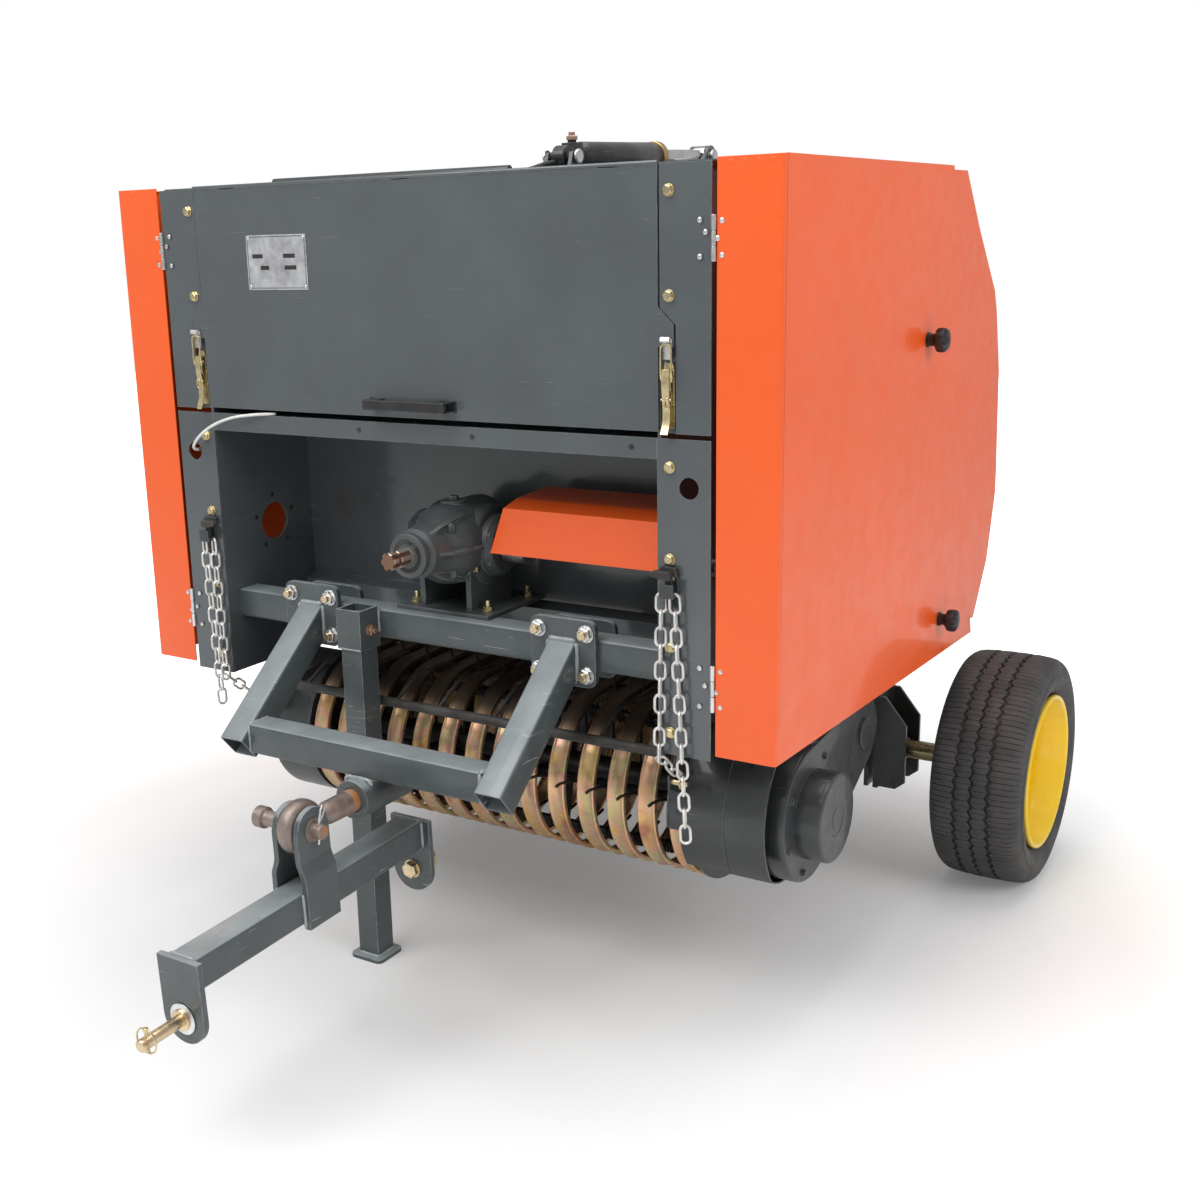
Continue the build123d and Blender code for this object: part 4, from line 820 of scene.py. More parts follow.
arm_pieces = Shape().join(arm).join(flange(26, 38, 0)).join(flange(98, 110, 8))
piece("arms", both(arm_pieces), "frame", GREY_WORN_TOP_LIT, "grey", "hitch_arms", bevel=1.0)
arm_bolts, bolt_ends = Shape(), Shape()
for x, z in ((253, 763), (355, 763), (253, 684), (355, 684)):
    arm_bolts.bolt((x, 26, z), "-y", 15)
    if z < 700:
        arm_bolts.bolt((x, 110, z), "y", 15)
    bolt_ends.lathe((x, 16, z), "-y", [(0, 8.4), (9, 8.4), (10.5, 7.2), (10.5, 0.1)], 20)
piece("arm_bolts", both(arm_bolts), "frame", SILVER, "zinc", bevel=0.5)
piece("arm_bolt_ends", both(bolt_ends), "frame", BRASS, "zinc")

up_arm = (ARM_TOP - ARM_LOW).normalized()
beads = Shape()
top_z = ARM_TOP.z + TUBE / 2 / up_arm.y
low_z = ARM_TOP.z - TUBE / 2 / up_arm.y
for z in (top_z, low_z):
    beads.join(bead([(275, 25.5, z), (333, 25.5, z)], 5.6, 275 + z))
for x in (273.5, 334.5):
    beads.join(bead([(x, 25, low_z + 3), (x, 25, top_z - 3)], 5.6, x + low_z + 3))
for z in (500.5, 557.5):
    beads.join(bead([(274.5, -207, z), (274.5, -153, z)], 4.5, z))
for y, seed in ((-208.5, 3), (-151.5, 4)):
    beads.join(bead([(274.5, y, 502), (274.5, y, 556)], 4.5, seed))
piece("arm_welds", both(beads), "frame", BEAD, "grey", angle=80)

cross_tube = square_tube((-274, -180, 529), (274, -180, 529))
socket = [(0, 24), (0, 36.5), (1.5, 38), (143.5, 38), (145, 36.5), (145, 24), (0, 24)]
cross_tube.lathe((0, -235, 463), "y", socket, 48, caps=False).box(-26, 26, -210, -150, 483, 500)
piece("cross_tube", cross_tube, "frame", GREY_WORN_TOP_LIT, "grey", "hitch_cross_tube", bevel=0.8)
beads = Shape()
for y in (-212, -148):
    beads.join(bead([(-31, y, 489), (-25, y, 498.5), (25, y, 498.5), (31, y, 489)], 5.5, y))
for x in (-27, 27):
    beads.join(bead([(x, -208, 498), (x, -152, 498)], 4.5, x))
piece("socket_welds", beads, "frame", BEAD, "grey", angle=80)


# stand: bolt through the sleeve, weld at the foot and the sleeve's ends
stand_bolt = Shape().bolt((-137.5, 8, 713), "x", 12, 6)
stand_bolt.disc((-197.5, 8, 713), "-x", 12, 2, n=24).hexagon((-199.5, 8, 713), "-x", 19, 8)
piece("stand_bolt", stand_bolt, "frame", COPPER, "bare", bevel=0.5)
corners = [(-193, -17.5, 9), (-142, -17.5, 9), (-142, 33.5, 9), (-193, 33.5, 9), (-193, -17.5, 9)]
piece("foot_weld", bead(corners, 4, 2), "stand", BEAD, "grey", angle=80)
beads = bead([(-197.5, -21, 676), (-137.5, -21, 676)], 2.5, 3)
for x, seed in ((-197, 3), (-138, 5)):
    beads.join(bead([(x, 37.5, 702), (x, 37.5, 757)], 3.5, seed))
piece("sleeve_welds", beads, "frame", BEAD, "grey", angle=80)

# ---- hitch eye, bar and pins
PIN_Y, PIN_Z = -376, 463
LINK_Z = 249
ENDS = (PIN_Y - 302, PIN_Y + 302)
TILT = Matrix.Translation((0, PIN_Y, PIN_Z)) @ Matrix.Rotation(math.radians(2.2), 4, "X") \
    @ Matrix.Translation((0, -PIN_Y, -PIN_Z))


def bar_piece(name, shape, *rest, **more):
    """A piece of the hitch bar, which lies slightly tilted on its pin."""
    piece(name, shape.turned(TILT), "hitch_bar", *rest, **more)


def ring_eye():
    """Eye forged on its shaft: a rounded ring, a flared neck, the shaft and its nut behind."""
    rings = []
    for a in circle(56):
        ring = []
        for b in circle(16):
            out, across = (math.copysign(abs(t) ** 0.72, t) for t in (math.cos(b), math.sin(b)))
            r = 32.5 + 17.5 * out
            ring.append((17.2 * across, PIN_Y + r * math.cos(a), PIN_Z + r * math.sin(a)))
        rings.append(ring)
    shape = Shape().rings(rings, closed=True)
    shaft = [(42, 15), (52, 15.8), (62, 19), (72, 21.6), (90, 22), (286, 22), (306, 22), (308, 20)]
    shape.lathe((0, PIN_Y, PIN_Z), "y", shaft, 40)
    return shape.lathe((0, -88.6, PIN_Z), "y", [(0, 30), (1.5, 31.5), (11, 31.5), (13, 30)], 40)


piece("ring_eye", ring_eye(), "hitch_eye", RUSTY, "bare", "hitch_eye", bevel=0.6)
rust = Shape().lathe((0, -266, PIN_Z), "y", [(14, 22.1), (15, 22.3), (40, 22.3), (41, 22.1)], 48, caps=False)
piece("shaft_rust", rust, "hitch_eye", RUST, "bare")


def clevis_plate():
    """Left clevis plate: near the eye at the top, stepped out round the bar's side below."""
    near, half, columns = 19.5, 41.5, 12
    rows = []
    for k in range(columns + 1):
        y = -half + 2 * half * k / columns
        top = PIN_Z + math.sqrt(max(0.0, half * half - y * y))
        column = [(top, near), (415, near), (407, near + 1.2), (385, 29), (377, 30), (287, 30)]
        outline = column + [(z, x + 11) for z, x in column[::-1]]
        rows.append([(x, PIN_Y + y, z) for z, x in outline])
    return Shape().rings(rows)


bar_shape = square_tube((0, ENDS[0], 327), (0, ENDS[1], 327))
end_plate = [(-46.5, 357), (46.5, 357)] + arc((0, LINK_Z), 46.5, 0, -180, 20)
bar_shape.prism(end_plate, "y", ENDS[0] - 12, ENDS[0]).prism(end_plate, "y", ENDS[1], ENDS[1] + 12)
bar_piece("hitch_bar_tube", bar_shape, GREY_WORN_TOP_LIT, "grey", "hitch_bar", bevel=1.0)
bar_piece("clevis_plates", both(clevis_plate()), GREY_WORN_TOP_LIT, "grey", "hitch_clevis", bevel=1.2)
beads = Shape()
for x in (-31, 31):
    for y in (PIN_Y - 42, PIN_Y + 42):
        beads.join(bead([(x, y, 289), (x, y, 355)], 4, x + y))
for y in (ENDS[0] + 1, ENDS[1] - 1):
    for a, b, seed in (((-27, y, 357.5), (27, y, 357.5), y), ((-30.5, y, 300), (-30.5, y, 355), y + 1),
                       ((30.5, y, 300), (30.5, y, 355), y + 2), ((-27, y, 296.5), (27, y, 296.5), y + 2)):
        beads.join(bead([a, b], 3.5, seed))
bar_piece("bar_welds", beads, BEAD, "grey", angle=80)

pin_face = Shape().lathe((56, PIN_Y, PIN_Z), "x", [(0, 11), (0.4, 10.5), (0.4, 0.1)], 32)
bar_piece("pin_rust", pin_face, RUST, "bare")
shank = [(0, 17), (2.5, 20), (20, 20), (22, 18), (24, 15), (43, 14), (155, 14), (157, 12)]
clevis_pin = Shape().lathe((-101, PIN_Y, PIN_Z), "x", shank, 40)
clevis_pin.disc((30.5, PIN_Y, PIN_Z), "x", 22, 3)
bar_piece("clevis_pin", clevis_pin, RUSTY, "bare", "hitch_pins", bevel=0.6)


def cotter_leg(places, r):
    """Leg of the cotter, its places as (y, z) from the clevis pin's axis."""
    return Shape().tube([(44, PIN_Y + y, PIN_Z + z) for y, z in places], r, 10)


cotter = cotter_leg([(-4, -24), (-1, -14), (0, 0), (2, 18), (8, 36)], 2.2)
cotter.join(cotter_leg([(8, 36), (14, 44), (20, 38), (12, 24), (3, 16)], 1.8))
bar_piece("cotter_pin", cotter, SILVER, "zinc")


def link_pins():
    """Lower-link pins on both ends of the bar, with their shoulder rings and nuts."""
    shape = Shape()
    for face, out, s in ((ENDS[0] - 12, 95, -1), (ENDS[1] + 12, 50, 1)):
        profile = [(0, 17), (1, 19), (7.5, 19), (9, 17.5), (9, 11), (out - 2, 11), (out, 9.5)]
        shape.lathe((0, face, LINK_Z), (0, s, 0), profile, 36)
        inside = (0, face - s * 12, LINK_Z)
        shape.hexagon(inside, (0, -s, 0), 30, 14, 1.5).disc(inside, (0, -s, 0), 19, 2.2, n=30)
    return shape


def linch_ring(y):
    """Wire ring of the linch pin through the pin's end."""
    loop = [(22 * math.cos(a), y, LINK_Z + 3 + 22 * math.sin(a)) for a in circle(36)]
    shape = Shape().tube(loop, 1.6, 8, closed=True)
    shape.rod((0, y + 1, 230), (0, y + 1, 270), 3.2, n=14, chamfer=0.8)
    return shape.lathe((0, y + 1, 268), "z", [(0, 4.5), (6, 4.5), (7, 3.5)], 14)


bar_piece("link_pins", link_pins(), BRASS, "bare", bevel=0.4)
washer = Shape().lathe((0, ENDS[0] - 12, LINK_Z), "-y", [(0, 27), (1.2, 28), (2.6, 28), (3.2, 27)], 40)
bar_piece("pin_washer", washer, SILVER, "zinc")
bar_piece("linch_rings", linch_ring(PIN_Y - 394).join(linch_ring(PIN_Y + 352)), GOLD, "zinc")

# ---- chains
LINK_PITCH = 28.0


def round_link():
    """Link of round wire in the XZ plane, its middle on the origin."""
    top = [(x, 0, z) for x, z in arc((0, 8.0), 8.9, 0, 180, 8)]
    return Shape().tube(top + [(x, 0, -z) for x, _, z in top[::-1]], 2.6, 10, closed=True)


LINK = round_link()


def strand(top, bottom):
    """Chain strand between two points, its links turned in alternation."""
    a, b = Vector(top), Vector(bottom)
    count = int((b - a).length / LINK_PITCH)
    lean_x = math.atan2(b.y - a.y, a.z - b.z)
    lean_y = -math.atan2(b.x - a.x, a.z - b.z)
    shape = Shape()
    for i in range(count):
        spot = a + (b - a) * ((i + 0.5) / count)
        turn = Matrix.Rotation(lean_x, 4, "X") @ Matrix.Rotation(lean_y, 4, "Y") \
            @ Matrix.Rotation(math.radians(20 + 90 * (i % 2)), 4, "Z")
        shape.join(LINK.turned(Matrix.Translation(spot) @ turn))
    return shape


def lift_chain(tail_x, tail_end, held_end_x):
    """Chain from its hook: a free tail, and the strand that holds the pickup."""
    chain = strand((tail_x, -13, 866), tail_end)
    chain.join(strand((531, -13, 866), (525, -14, 562)))
    return chain.join(strand((525, -14, 570), (held_end_x, 60, 511)))


for name, *ends in (("left", 556, (578, -15, 420), 525), ("right", 558, (541, -15, 506), 526)):
    chain = on_side(lift_chain(*ends), name)
    piece("chain_links_" + name, chain, "frame", GALVANISED, "zinc", "chain_" + name)
lift_nuts = Shape().bolt((531, 60, 497), "x", 11, 4).bolt((-527, 60, 497), "-x", 11, 4)
piece("lift_nuts", lift_nuts, "pickup", GOLD, "zinc", bevel=0.4)

# ---- pickup
REEL = (263, 400)
BAND = (265, 412)
PIVOT = (524, 480)
BAND_R = 168.0
BAND_TOP = ((558, 588), (265, 580))  # straight upper run of a band, from its rear end
LAST_BAND = 502.5
BANDS_X = [LAST_BAND - 67 * (13 - i) for i in range(14)]
SHIELD_X = 512


def band_path():
    """Outer line of a stripper band with its outward normals, as (y, z, ny, nz)."""
    toward = Vector(PIVOT) - Vector(BAND)
    along = math.degrees(math.atan2(toward.y, toward.x))
    lower = 360 + along - math.degrees(math.acos((BAND_R - 22) / toward.length))
    (y1, z1), (y0, z0) = BAND_TOP
    slope = math.atan2(z1 - z0, y1 - y0)
    path = []
    for k in range(7):
        t = 1 - k / 6
        path.append((y0 + (y1 - y0) * t, z0 + (z1 - z0) * t, -math.sin(slope), math.cos(slope)))
    turns = [(BAND, BAND_R, 90 + (lower - 90) * k / 44) for k in range(1, 45)] + [(PIVOT, 22, lower)]
    return path + [(*polar(centre, r, a), *polar((0, 0), 1, a)) for centre, r, a in turns]


BAND_PATH = band_path()


def band_strip(x0, x1):
    """Stripper band of pressed sheet: a flat middle between two rolled edges."""
    middle, half = (x0 + x1) / 2, (x1 - x0) / 2
    edge = [(half, -9), (half, -3), (half - 0.6, -1.2), (half - 2, 0.3), (half - 4, 0.3), (half - 5.6, -1.2),
            (half - 7.5, -2.2)]
    inside = [(half - 2.2, -9), (half - 2.6, -4.4), (half - 8, -5)]
    section = [(-x, d) for x, d in edge] + edge[::-1] + inside + [(-x, d) for x, d in inside[::-1]]
    rings = [[(middle + x, y + ny * d, z + nz * d) for x, d in section] for y, z, ny, nz in BAND_PATH]
    return Shape().rings(rings)


bands = Shape()
band_bolts = Shape()
for centre in BANDS_X:
    bands.join(band_strip(centre - 19, min(centre + 19, SHIELD_X)))
for centre in BANDS_X[:-1]:
    band_bolts.bolt((centre, 520, 587), "z", 7)
piece("bands", bands, "pickup", BANDS, "zinc", "pickup_bands", angle=50)
# Matte black sheet behind the pickup's bands: painted shade, seen through the gaps between the bands.
piece("shade_sheet_behind_bands", Shape().box(-528, 528, 572, 575, 262, 482), "frame", MATTE, "dark")
piece("band_bolts", band_bolts, "pickup", GOLD, "zinc")

# guard bar in front of the bands, with its levers and bent rods
ROD = ((0, 0), (30, 16), (62, 33), (80, 40.5), (100, 42.5), (150, 41.5), (205, 40))
GUARD = (54, 551)
guard = Shape().disc((-490, *GUARD), "x", 10, 994, 1.5, 24)
for x in (-360, -240, -120, -14, 120, 240, 360):
    guard.tube([(x, GUARD[0] + y, GUARD[1] + z) for y, z in ROD], 4, 12)
lever = [(54, 541), (50, 551), (54, 561), (160, 577.5), (168, 574), (176, 561), (172, 556)]
for x in (-403, 500):
    guard.prism(lever, "x", x - 4, x + 4)
piece("guard_bar", guard, "pickup", MATTE, "dark", "wind_guard", bevel=0.6)

# tined reel
TINE_ROWS = [(167, 0), (77, 25), (347, 100), (257, 100)]  # place on the reel, lean of the tines
BAR_R = 120


def spring_tine(angle, turn):
    """Wire tine from its coil on the bar, with its tip bent back."""
    lean = math.radians(angle + turn)
    base = Vector((0, *polar(REEL, BAR_R, angle)))
    out = Vector((0, math.cos(lean), math.sin(lean)))
    side = Vector((0, -math.sin(lean), math.cos(lean)))
    line = [base, base + out * 40, base + out * 72, base + out * 88 + side * 1.5, base + out * 99 + side * 5]
    coil = []
    for k in range(25):
        t = 2 * math.pi * k / 8
        coil.append(base + Vector((2 + k * 0.72, 12.5 * math.cos(t), 12.5 * math.sin(t))))
    return Shape().tube(line, 3.0, 8).tube(coil, 2.3, 6)


reel = Shape().disc((-395, *REEL), "x", 32, 899, 1).rod((-418, *REEL), (671, *REEL), 17)
for angle, turn in TINE_ROWS:
    reel.disc((-395, *polar(REEL, BAR_R, angle)), "x", 10, 899, 1, 16)
    a = math.radians(angle)
    ca, sa = math.cos(a), math.sin(a)
    blade = [(-14, 0), (14, 0), (14, 118), (9, 132), (-9, 132), (-14, 118)]
    outline = [(REEL[0] + v * ca - u * sa, REEL[1] + v * sa + u * ca) for u, v in blade]
    for x in (BANDS_X[0], BANDS_X[4], BANDS_X[8], BANDS_X[13]):
        reel.prism(outline, "x", x - 3, x + 3)
for angle, turn in TINE_ROWS:
    tine = spring_tine(angle, turn)
    for x in BANDS_X[:-1]:
        reel.join(tine, (x + 33.5, 0, 0))
piece("reel_tines", reel, "reel", TINE, "dark", ("reel", "reel_shaft"), angle=40)


# chain case, drums and the left shield's trim
def case_outline(r0, r1):
    """Outline round the reel's and the pivot's axes, as points (y, z)."""
    toward = Vector(PIVOT) - Vector(REEL)
    along = math.degrees(math.atan2(toward.y, toward.x))
    lean = math.degrees(math.acos((r0 - r1) / toward.length))
    big = arc(REEL, r0, along + lean, along + 360 - lean, 44)
    return big + arc(PIVOT, r1, along - lean, along + lean, 24)


profile = [(652, -4), (652, 0), (653, 1.5), (655.5, 2.5), (693, 2.5), (697, 1.6), (699.4, -0.6), (700, -3.5)]
case = Shape().rings([[(x, y, z) for y, z in case_outline(129.5 + grow, 73.5 + grow)] for x, grow in profile])
case.lathe((700, *REEL), "x", [(-1, 84), (0, 86), (44, 86), (47.5, 84.6), (49.5, 81.5), (50, 78), (50, 34),
                               (48.6, 32.5), (48.6, 22), (50, 20.5), (50, 0.1)], 72)
case.lathe((700, *PIVOT), "x", [(0, 32), (5.5, 32), (7, 30.5), (7, 0.1)], 40)
piece("chain_case_body", case, "pickup", DARK, "dark", "chain_case", bevel=0.5)
case_bolts = Shape()
for a in (60, 150, 200, 250, 310):
    case_bolts.bolt((700, *polar(REEL, 112, a)), "x", 7)
piece("case_bolts", case_bolts, "pickup", DARK, "dark", bevel=0.3)
trim = Shape().tube([(485, y, z) for y, z in arc(BAND, 173.5, 120, 186, 24)], 2.2, 8)
trim.tube([(598, y, z) for y, z in arc(BAND, 173.9, 121, 216, 32)], 1.7, 8)
piece("shield_trim", trim, "pickup", DARK, "dark")
# Holes in the left shield drawn as shallow black cups: painted shade for their insides.
holes = Shape()
for x, a in ((526, 150), (566, 158), (636, 140), (506, 176)):
    out = (0, *polar((0, 0), 1, a))
    holes.lathe((x, *polar(BAND, 173.6, a)), out, [(0, 0.1), (0.15, 4.5), (0, 5.1)], 18, caps=False)
piece("shield_holes", holes, "pickup", BLACK, "dark")

# ---- gearbox and power take-off
HEAD = (0, 160, 878)  # where the gearbox's two axes cross
nose = [(-35, 20), (-35, 41), (-33.5, 43.5), (-22, 43.5), (-20.5, 42), (-20, 40), (-14, 40), (-10, 48),
        (0, 50), (28, 53), (40, 58), (66, 74), (76, 77), (92, 80), (214, 80), (226, 70), (235, 55),
        (235, 0.1)]
gear = Shape().lathe((0, 0, PTO_Z), "y", nose, 56)
for angle in (0, 52, 128, 180, 232, 308):
    a = math.radians(angle)
    ca, sa = math.cos(a), math.sin(a)
    rib = [(-12, 38), (20, 66), (70, 84), (96, 84), (96, 60), (-12, 30)]
    gear.rings([[(r * ca - off * sa, y, PTO_Z + r * sa + off * ca) for y, r in rib] for off in (-3.5, 3.5)])
gear.lathe(HEAD, "x", [(-72, 60), (-70, 74), (-64, 79), (64, 79), (70, 74), (72, 60)], 72)
gear.lathe(HEAD, "x", [(0, 56), (60, 56), (66, 58), (70, 62), (84, 62), (86, 60), (96, 52), (96, 0.1)], 48)
gear.lathe(HEAD, "-x", [(0, 50), (62, 50), (66, 54), (80, 54), (84, 50), (92, 44), (92, 0.1)], 48)
for x0, x1 in ((-62, -50), (50, 62)):
    gear.prism([(80, 759), (80, 850), (90, 872), (190, 872), (220, 850), (220, 759)], "x", x0, x1)
base = [(-108, 61), (112, 61), (114, 63), (114, 268), (112, 270), (-108, 270), (-110, 268), (-110, 63)]
gear.prism(base, "z", 750, 759)
gear.lathe((0, 120, 955), "z", [(0, 26), (12, 26), (14, 24), (14, 0.1)], 32)
gear.lathe((-30, 70, 930), (-0.4, -0.4, 0.8), [(0, 15), (16, 13), (18, 10), (18, 0.1)], 24)
piece("gearbox_casting", gear, "frame", CASTING, "cast", "gearbox", bevel=1.5, segments=3)
gear_bolts = Shape()
for a in (45, 135, 225, 315):
    x, z = polar((0, PTO_Z), 64, a)
    gear_bolts.bolt((x, 44, z), "-y", 9)
for a in (30, 90, 150, 210, 270, 330):
    gear_bolts.bolt((86, *polar(HEAD[1:], 53, a)), "x", 7)
gear_bolts.hexagon((0, 120, 969), "z", 17, 8)
piece("gearbox_bolts", gear_bolts, "frame", CASTING, "cast", bevel=0.4)
base_bolts = Shape()
for x, y in ((-86, 100), (-86, 238), (88, 100), (88, 238)):
    base_bolts.bolt((x, y, 759), "z", 11, 12)
for y in (100, 190):
    base_bolts.bolt((62, y, 842), "x", 11)
for y in (90, 188):
    base_bolts.bolt((-62, y, 850), "-x", 10)
piece("base_bolts", base_bolts, "frame", GOLD, "bare", bevel=0.4)
seal = [(0, 33), (0.8, 32.5), (0.8, 30), (0.2, 29), (0.2, 24), (-2, 20)]
piece("gearbox_seal", Shape().lathe((0, -35, PTO_Z), "-y", seal, 40, caps=False), "frame", BLACK, "dark")


def splined_stub():
    """Power take-off stub with six splines, a lock groove near its tip, and a centre hole."""
    def section(y, tooth, root):
        steps = [(15.5, root), (14.5, tooth), (7, tooth)]
        tooth_points = [(-21, root)] + [(-a, r) for a, r in steps] + [(0, tooth)] + steps[::-1] + [(21, root)]
        ring = []
        for k in range(6):
            for a, r in tooth_points:
                x, z = polar((0, PTO_Z), r, 60 * k + a + 8)
                ring.append((x, y, z))
        return ring

    stations = [(-94, 15.2, 13.2), (-92, 17.2, 14.6), (-80, 17.4, 14.8), (-78.5, 15, 14.6), (-71.5, 15, 14.6),
                (-70, 17.4, 14.8), (-44, 17.4, 14.8), (-38, 17.4, 17.2), (-20, 17.4, 17.2)]
    shape = Shape().rings([section(*s) for s in stations])
    return shape.lathe((0, -94.05, PTO_Z), "y", [(0, 5), (3, 3), (6, 0.1)], 20, caps=False)


piece("splined_stub", splined_stub(), "pto", SPLINES, "bare", "pto_shaft", bevel=0.5, angle=28)

# ---- roof: cylinder, port, hoses
BASE = Vector((100, 391, 1614))
EYE = Vector((100, 995, 1632))
along = (EYE - BASE).normalized()
upward = way("x").cross(along)
profile = [(10, 18), (12, 20), (58, 20), (62, 27), (66, 29), (372, 29), (374, 28)]
barrel = Shape().lathe(BASE, along, profile, 40)
barrel.disc(BASE - Vector((14, 0, 0)), "x", 22, 28, 2)
block = BASE + along * 36
corners = ((-15, -16), (15, -16), (15, 16), (-15, 16))
barrel.rings([[block + way("x") * a + along * b + upward * h for a, b in corners] for h in (-12, 27)])
port = block + upward * 27
barrel.lathe(port, upward, [(0, 8), (2, 9), (8, 9), (10, 6.5)], 20)
piece("cylinder_body", barrel, "cylinder_barrel", BLACK, "dark", "cylinder_barrel", bevel=1.0)
gland = Shape().lathe(BASE + along * 366, along, [(0, 30), (1.5, 31), (18, 31), (20, 29), (20, 15)], 40)
piece("cylinder_gland", gland, "cylinder_barrel", BRONZE, "bare")
fitting = Shape().hexagon(port + upward * 5, upward, 20, 8).disc(port + upward * 12, upward, 6.5, 8, n=16)
piece("port_fitting", fitting, "cylinder_barrel", COPPER, "bare", bevel=0.4)
screw = Shape().hexagon(BASE + along * 52 + upward * 20, upward, 13, 7)
piece("bleed_screw", screw, "cylinder_barrel", GOLD, "bare")


def headed_pin(centre, head, r, grip):
    """Cross pin with a collar on each end; its first end lies a head's distance from the centre."""
    profile = [(0, 12), (2, 14), (5, 14), (5, r), (grip, r), (grip + 1, 14), (grip + 4, 14), (grip + 6, 12)]
    return Shape().lathe(centre - Vector((head, 0, 0)), "x", profile, 24)


piece("eye_pin", headed_pin(EYE, 34, 9.6, 62), "tailgate", SILVER, "zinc")
piece("base_pin", headed_pin(BASE, 40, 9.8, 74), "frame", SILVER, "zinc")

hose = Shape().tube([(-512, 300, 1583), (-420, 301, 1583), (-200, 303, 1583), (0, 306, 1583), (50, 308, 1584),
                     (78, 320, 1592), (90, 345, 1600), (93, 380, 1604)], 5.5, 12)
piece("roof_hose", hose, "frame", HOSE, "rubber")
clips = Shape()
arch = ((293, 1577), (294.5, 1584), (298, 1588.6), (303, 1589.2), (308, 1586), (309.5, 1577))
for x in (-470, -330, -130, 30):
    clips.box(x - 7, x + 7, 292, 312, 1576, 1577.4)
    clips.tube([(x, y, z) for y, z in arch], 1.5, 6)
    clips.hexagon((x, 290, 1577.4), "z", 8, 4)
piece("hose_clips", clips, "frame", SILVER, "zinc")
strap = Shape().box(-596, -512, 292, 314, 1576, 1578).box(-560, -556, 292, 314, 1578, 1590)
piece("roof_strap", strap, "frame", ALLOY, "zinc", bevel=0.4)
shaft_bolts = Shape()
for x, y in ((-515, 246), (-515, 278), (35, 246), (35, 278)):
    shaft_bolts.bolt((x, y, 1576), "z", 7)
piece("shaft_bolts", shaft_bolts, "frame", GOLD, "zinc")

# roller bearings on the side walls, the tailgate shaft's caps, and the chain hooks' claws
bearings = Shape()
for angle in (94, 114, 134, 154, 174, 194, 214, 252, 272):
    spot = polar((772, 950), 435, angle)
    bearings.lathe((523, *spot), "x", [(0, 34), (5, 34), (7, 32), (7, 20), (12, 18), (16, 18), (17, 16)], 28)
    for turn in (0, 120, 240):
        bearings.bolt((530, *polar(spot, 26, turn + angle)), "x", 6)
piece("roller_bearings", both(bearings), "frame", CASTING, "cast", bevel=0.4)
gate_caps = Shape().lathe((533, 800, 1530), "x", [(0, 14), (2, 22), (6, 22), (8, 20), (8, 0.1)], 28)
piece("gate_shaft_caps", both(gate_caps), "frame", SILVER, "zinc", bevel=0.4)
tongue = [(538, 896), (552, 896), (551, 842), (546, 836), (541, 842)]
front = [(517, 897), (514, 904), (520, 908), (550, 908), (553, 902), (553, 893), (538, 893)]
rear = [(526, 903), (524, 910), (530, 915), (556, 913), (559, 905), (559, 897), (545, 897)]
claws = Shape().prism(tongue, "y", -15, -8).prism(front, "y", -26, -13).prism(rear, "y", -11, -2)
piece("hook_claws", both(claws), "frame", MATTE, "dark", bevel=1.5)
hook_bolts = Shape().bolt((546, -2.6, 894), "-y", 8)
piece("hook_bolts", both(hook_bolts), "frame", GOLD, "bare", bevel=0.3)

# ---- white cord
CORD_POINTS = [
    (-577, 14, 1050), (-571, -14, 1052), (-548, -22, 1078), (-505, -20, 1107), (-450, -14, 1126),
    (-400, -9, 1132), (-372, -4, 1134.1), (-350, 8, 1134.1),
]
curve = bpy.data.curves.new("white_cord", "CURVE")
curve.dimensions = "3D"
spline = curve.splines.new("NURBS")
spline.points.add(len(CORD_POINTS) - 1)
for point, place in zip(spline.points, CORD_POINTS):
    point.co = (*world(place), 1)
spline.order_u = 3
spline.use_endpoint_u = True
spline.resolution_u = 12
curve.bevel_depth = 0.003
curve.bevel_resolution = 4
curve.materials.append(CORD)
cord = bpy.data.objects.new("white_cord", curve)
bpy.context.scene.collection.objects.link(cord)
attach(cord, "frame")
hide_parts("twine_cord")

# ---- stage
CAMERA = (1688, -2162, 1467)
YAW, PITCH, ROLL = (math.radians(a) for a in (33.521, -14.202, -1.604))


def camera():
    forward = Vector((-math.sin(YAW) * math.cos(PITCH), math.cos(YAW) * math.cos(PITCH), math.sin(PITCH)))
    level = Vector((math.cos(YAW), math.sin(YAW), 0))
    upright = level.cross(forward)
    right = level * math.cos(ROLL) + upright * math.sin(ROLL)
    up = upright * math.cos(ROLL) - level * math.sin(ROLL)
    data = bpy.data.cameras.new("camera")
    data.sensor_width = 36
    data.lens = 43.93
    data.shift_x = 0.0569
    data.shift_y = 0.0047
    data.clip_end = 100
    thing = bpy.data.objects.new("camera", data)
    bpy.context.scene.collection.objects.link(thing)
    turn = Matrix((right, up, -forward)).transposed().to_4x4()
    thing.matrix_world = Matrix.Translation(world(CAMERA)) @ turn
    bpy.context.scene.camera = thing


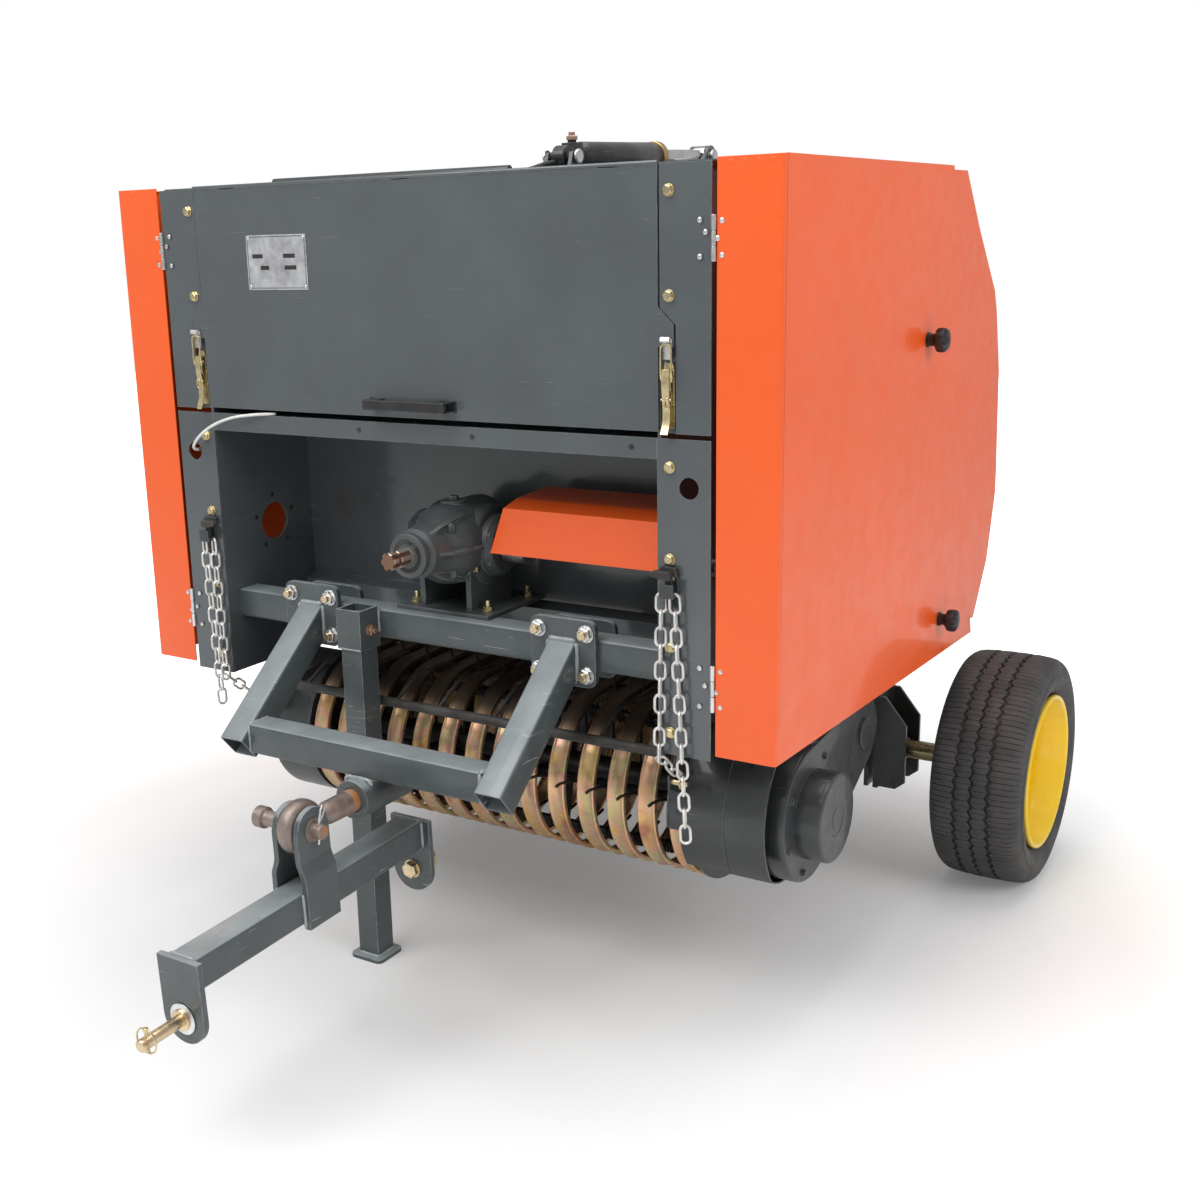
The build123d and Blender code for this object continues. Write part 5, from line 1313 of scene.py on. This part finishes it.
def area_light(name, place, target, size, power, glossy=True):
    data = bpy.data.lights.new(name, "AREA")
    data.shape = "RECTANGLE"
    data.size, data.size_y = size
    data.energy = power
    thing = bpy.data.objects.new(name, data)
    bpy.context.scene.collection.objects.link(thing)
    thing.visible_glossy = glossy
    thing.location = place
    thing.rotation_euler = (Vector(target) - Vector(place)).to_track_quat("-Z", "Y").to_euler()


def studio():
    """Pale floor with a painted shadow darkening it under the machine, white surroundings for the camera and
    for reflections, and soft lamps.
    """
    floor = bpy.data.meshes.new("floor")
    size = 12
    corners = [(-size, -size, 0), (size, -size, 0), (size, size, 0), (-size, size, 0)]
    floor.from_pydata(corners, [], [(0, 1, 2, 3)])
    thing = bpy.data.objects.new("floor", floor)
    bpy.context.scene.collection.objects.link(thing)
    n = Nodes("floor_white")
    reach = n.measure("LENGTH", n.coordinates)
    # Floor colour darker near the middle: a painted shadow under the machine, paler further out.
    n.surface(n.ramp(n.times(reach, 0.5), (0.15, 0.62), (0.6, 0.82)), 0.9)
    n.shader.inputs["Specular IOR Level"].default_value = 0.1
    far = n.ramp(n.times(reach, 0.1), (0.13, 0.0), (0.34, 1.0))
    camera_only = n.new("LightPath").outputs["Is Camera Ray"]
    n.put(n.shader.inputs["Emission Color"], (1.0, 1.0, 1.0))
    n.put(n.shader.inputs["Emission Strength"], n.times(n.math("ADD", far, 0.12), camera_only))
    floor.materials.append(n.material)
    sky = bpy.data.worlds.new("studio")
    bpy.context.scene.world = sky
    sky.use_nodes = True
    tree = sky.node_tree
    background = tree.nodes["Background"]
    background.inputs["Color"].default_value = (1, 1, 1, 1)
    seen = tree.nodes.new("ShaderNodeLightPath")
    strength = tree.nodes.new("ShaderNodeMix")
    strength.inputs["A"].default_value = 0.50
    strength.inputs["B"].default_value = 1.0
    tree.links.new(seen.outputs["Is Camera Ray"], strength.inputs["Factor"])
    tree.links.new(strength.outputs["Result"], background.inputs["Strength"])
    area_light("key", (-1.2, -3.4, 5.0), (0, 0, 0.8), (4.0, 3.0), 190)
    area_light("side", (4.8, -0.9, 3.2), (0.3, 0, 0.8), (2.4, 2.4), 90, glossy=False)
    area_light("top", (0.2, 0.3, 4.8), (0, 0, 0.8), (3.4, 3.4), 90)
    bpy.context.scene.view_settings.view_transform = "Standard"


camera()
studio()
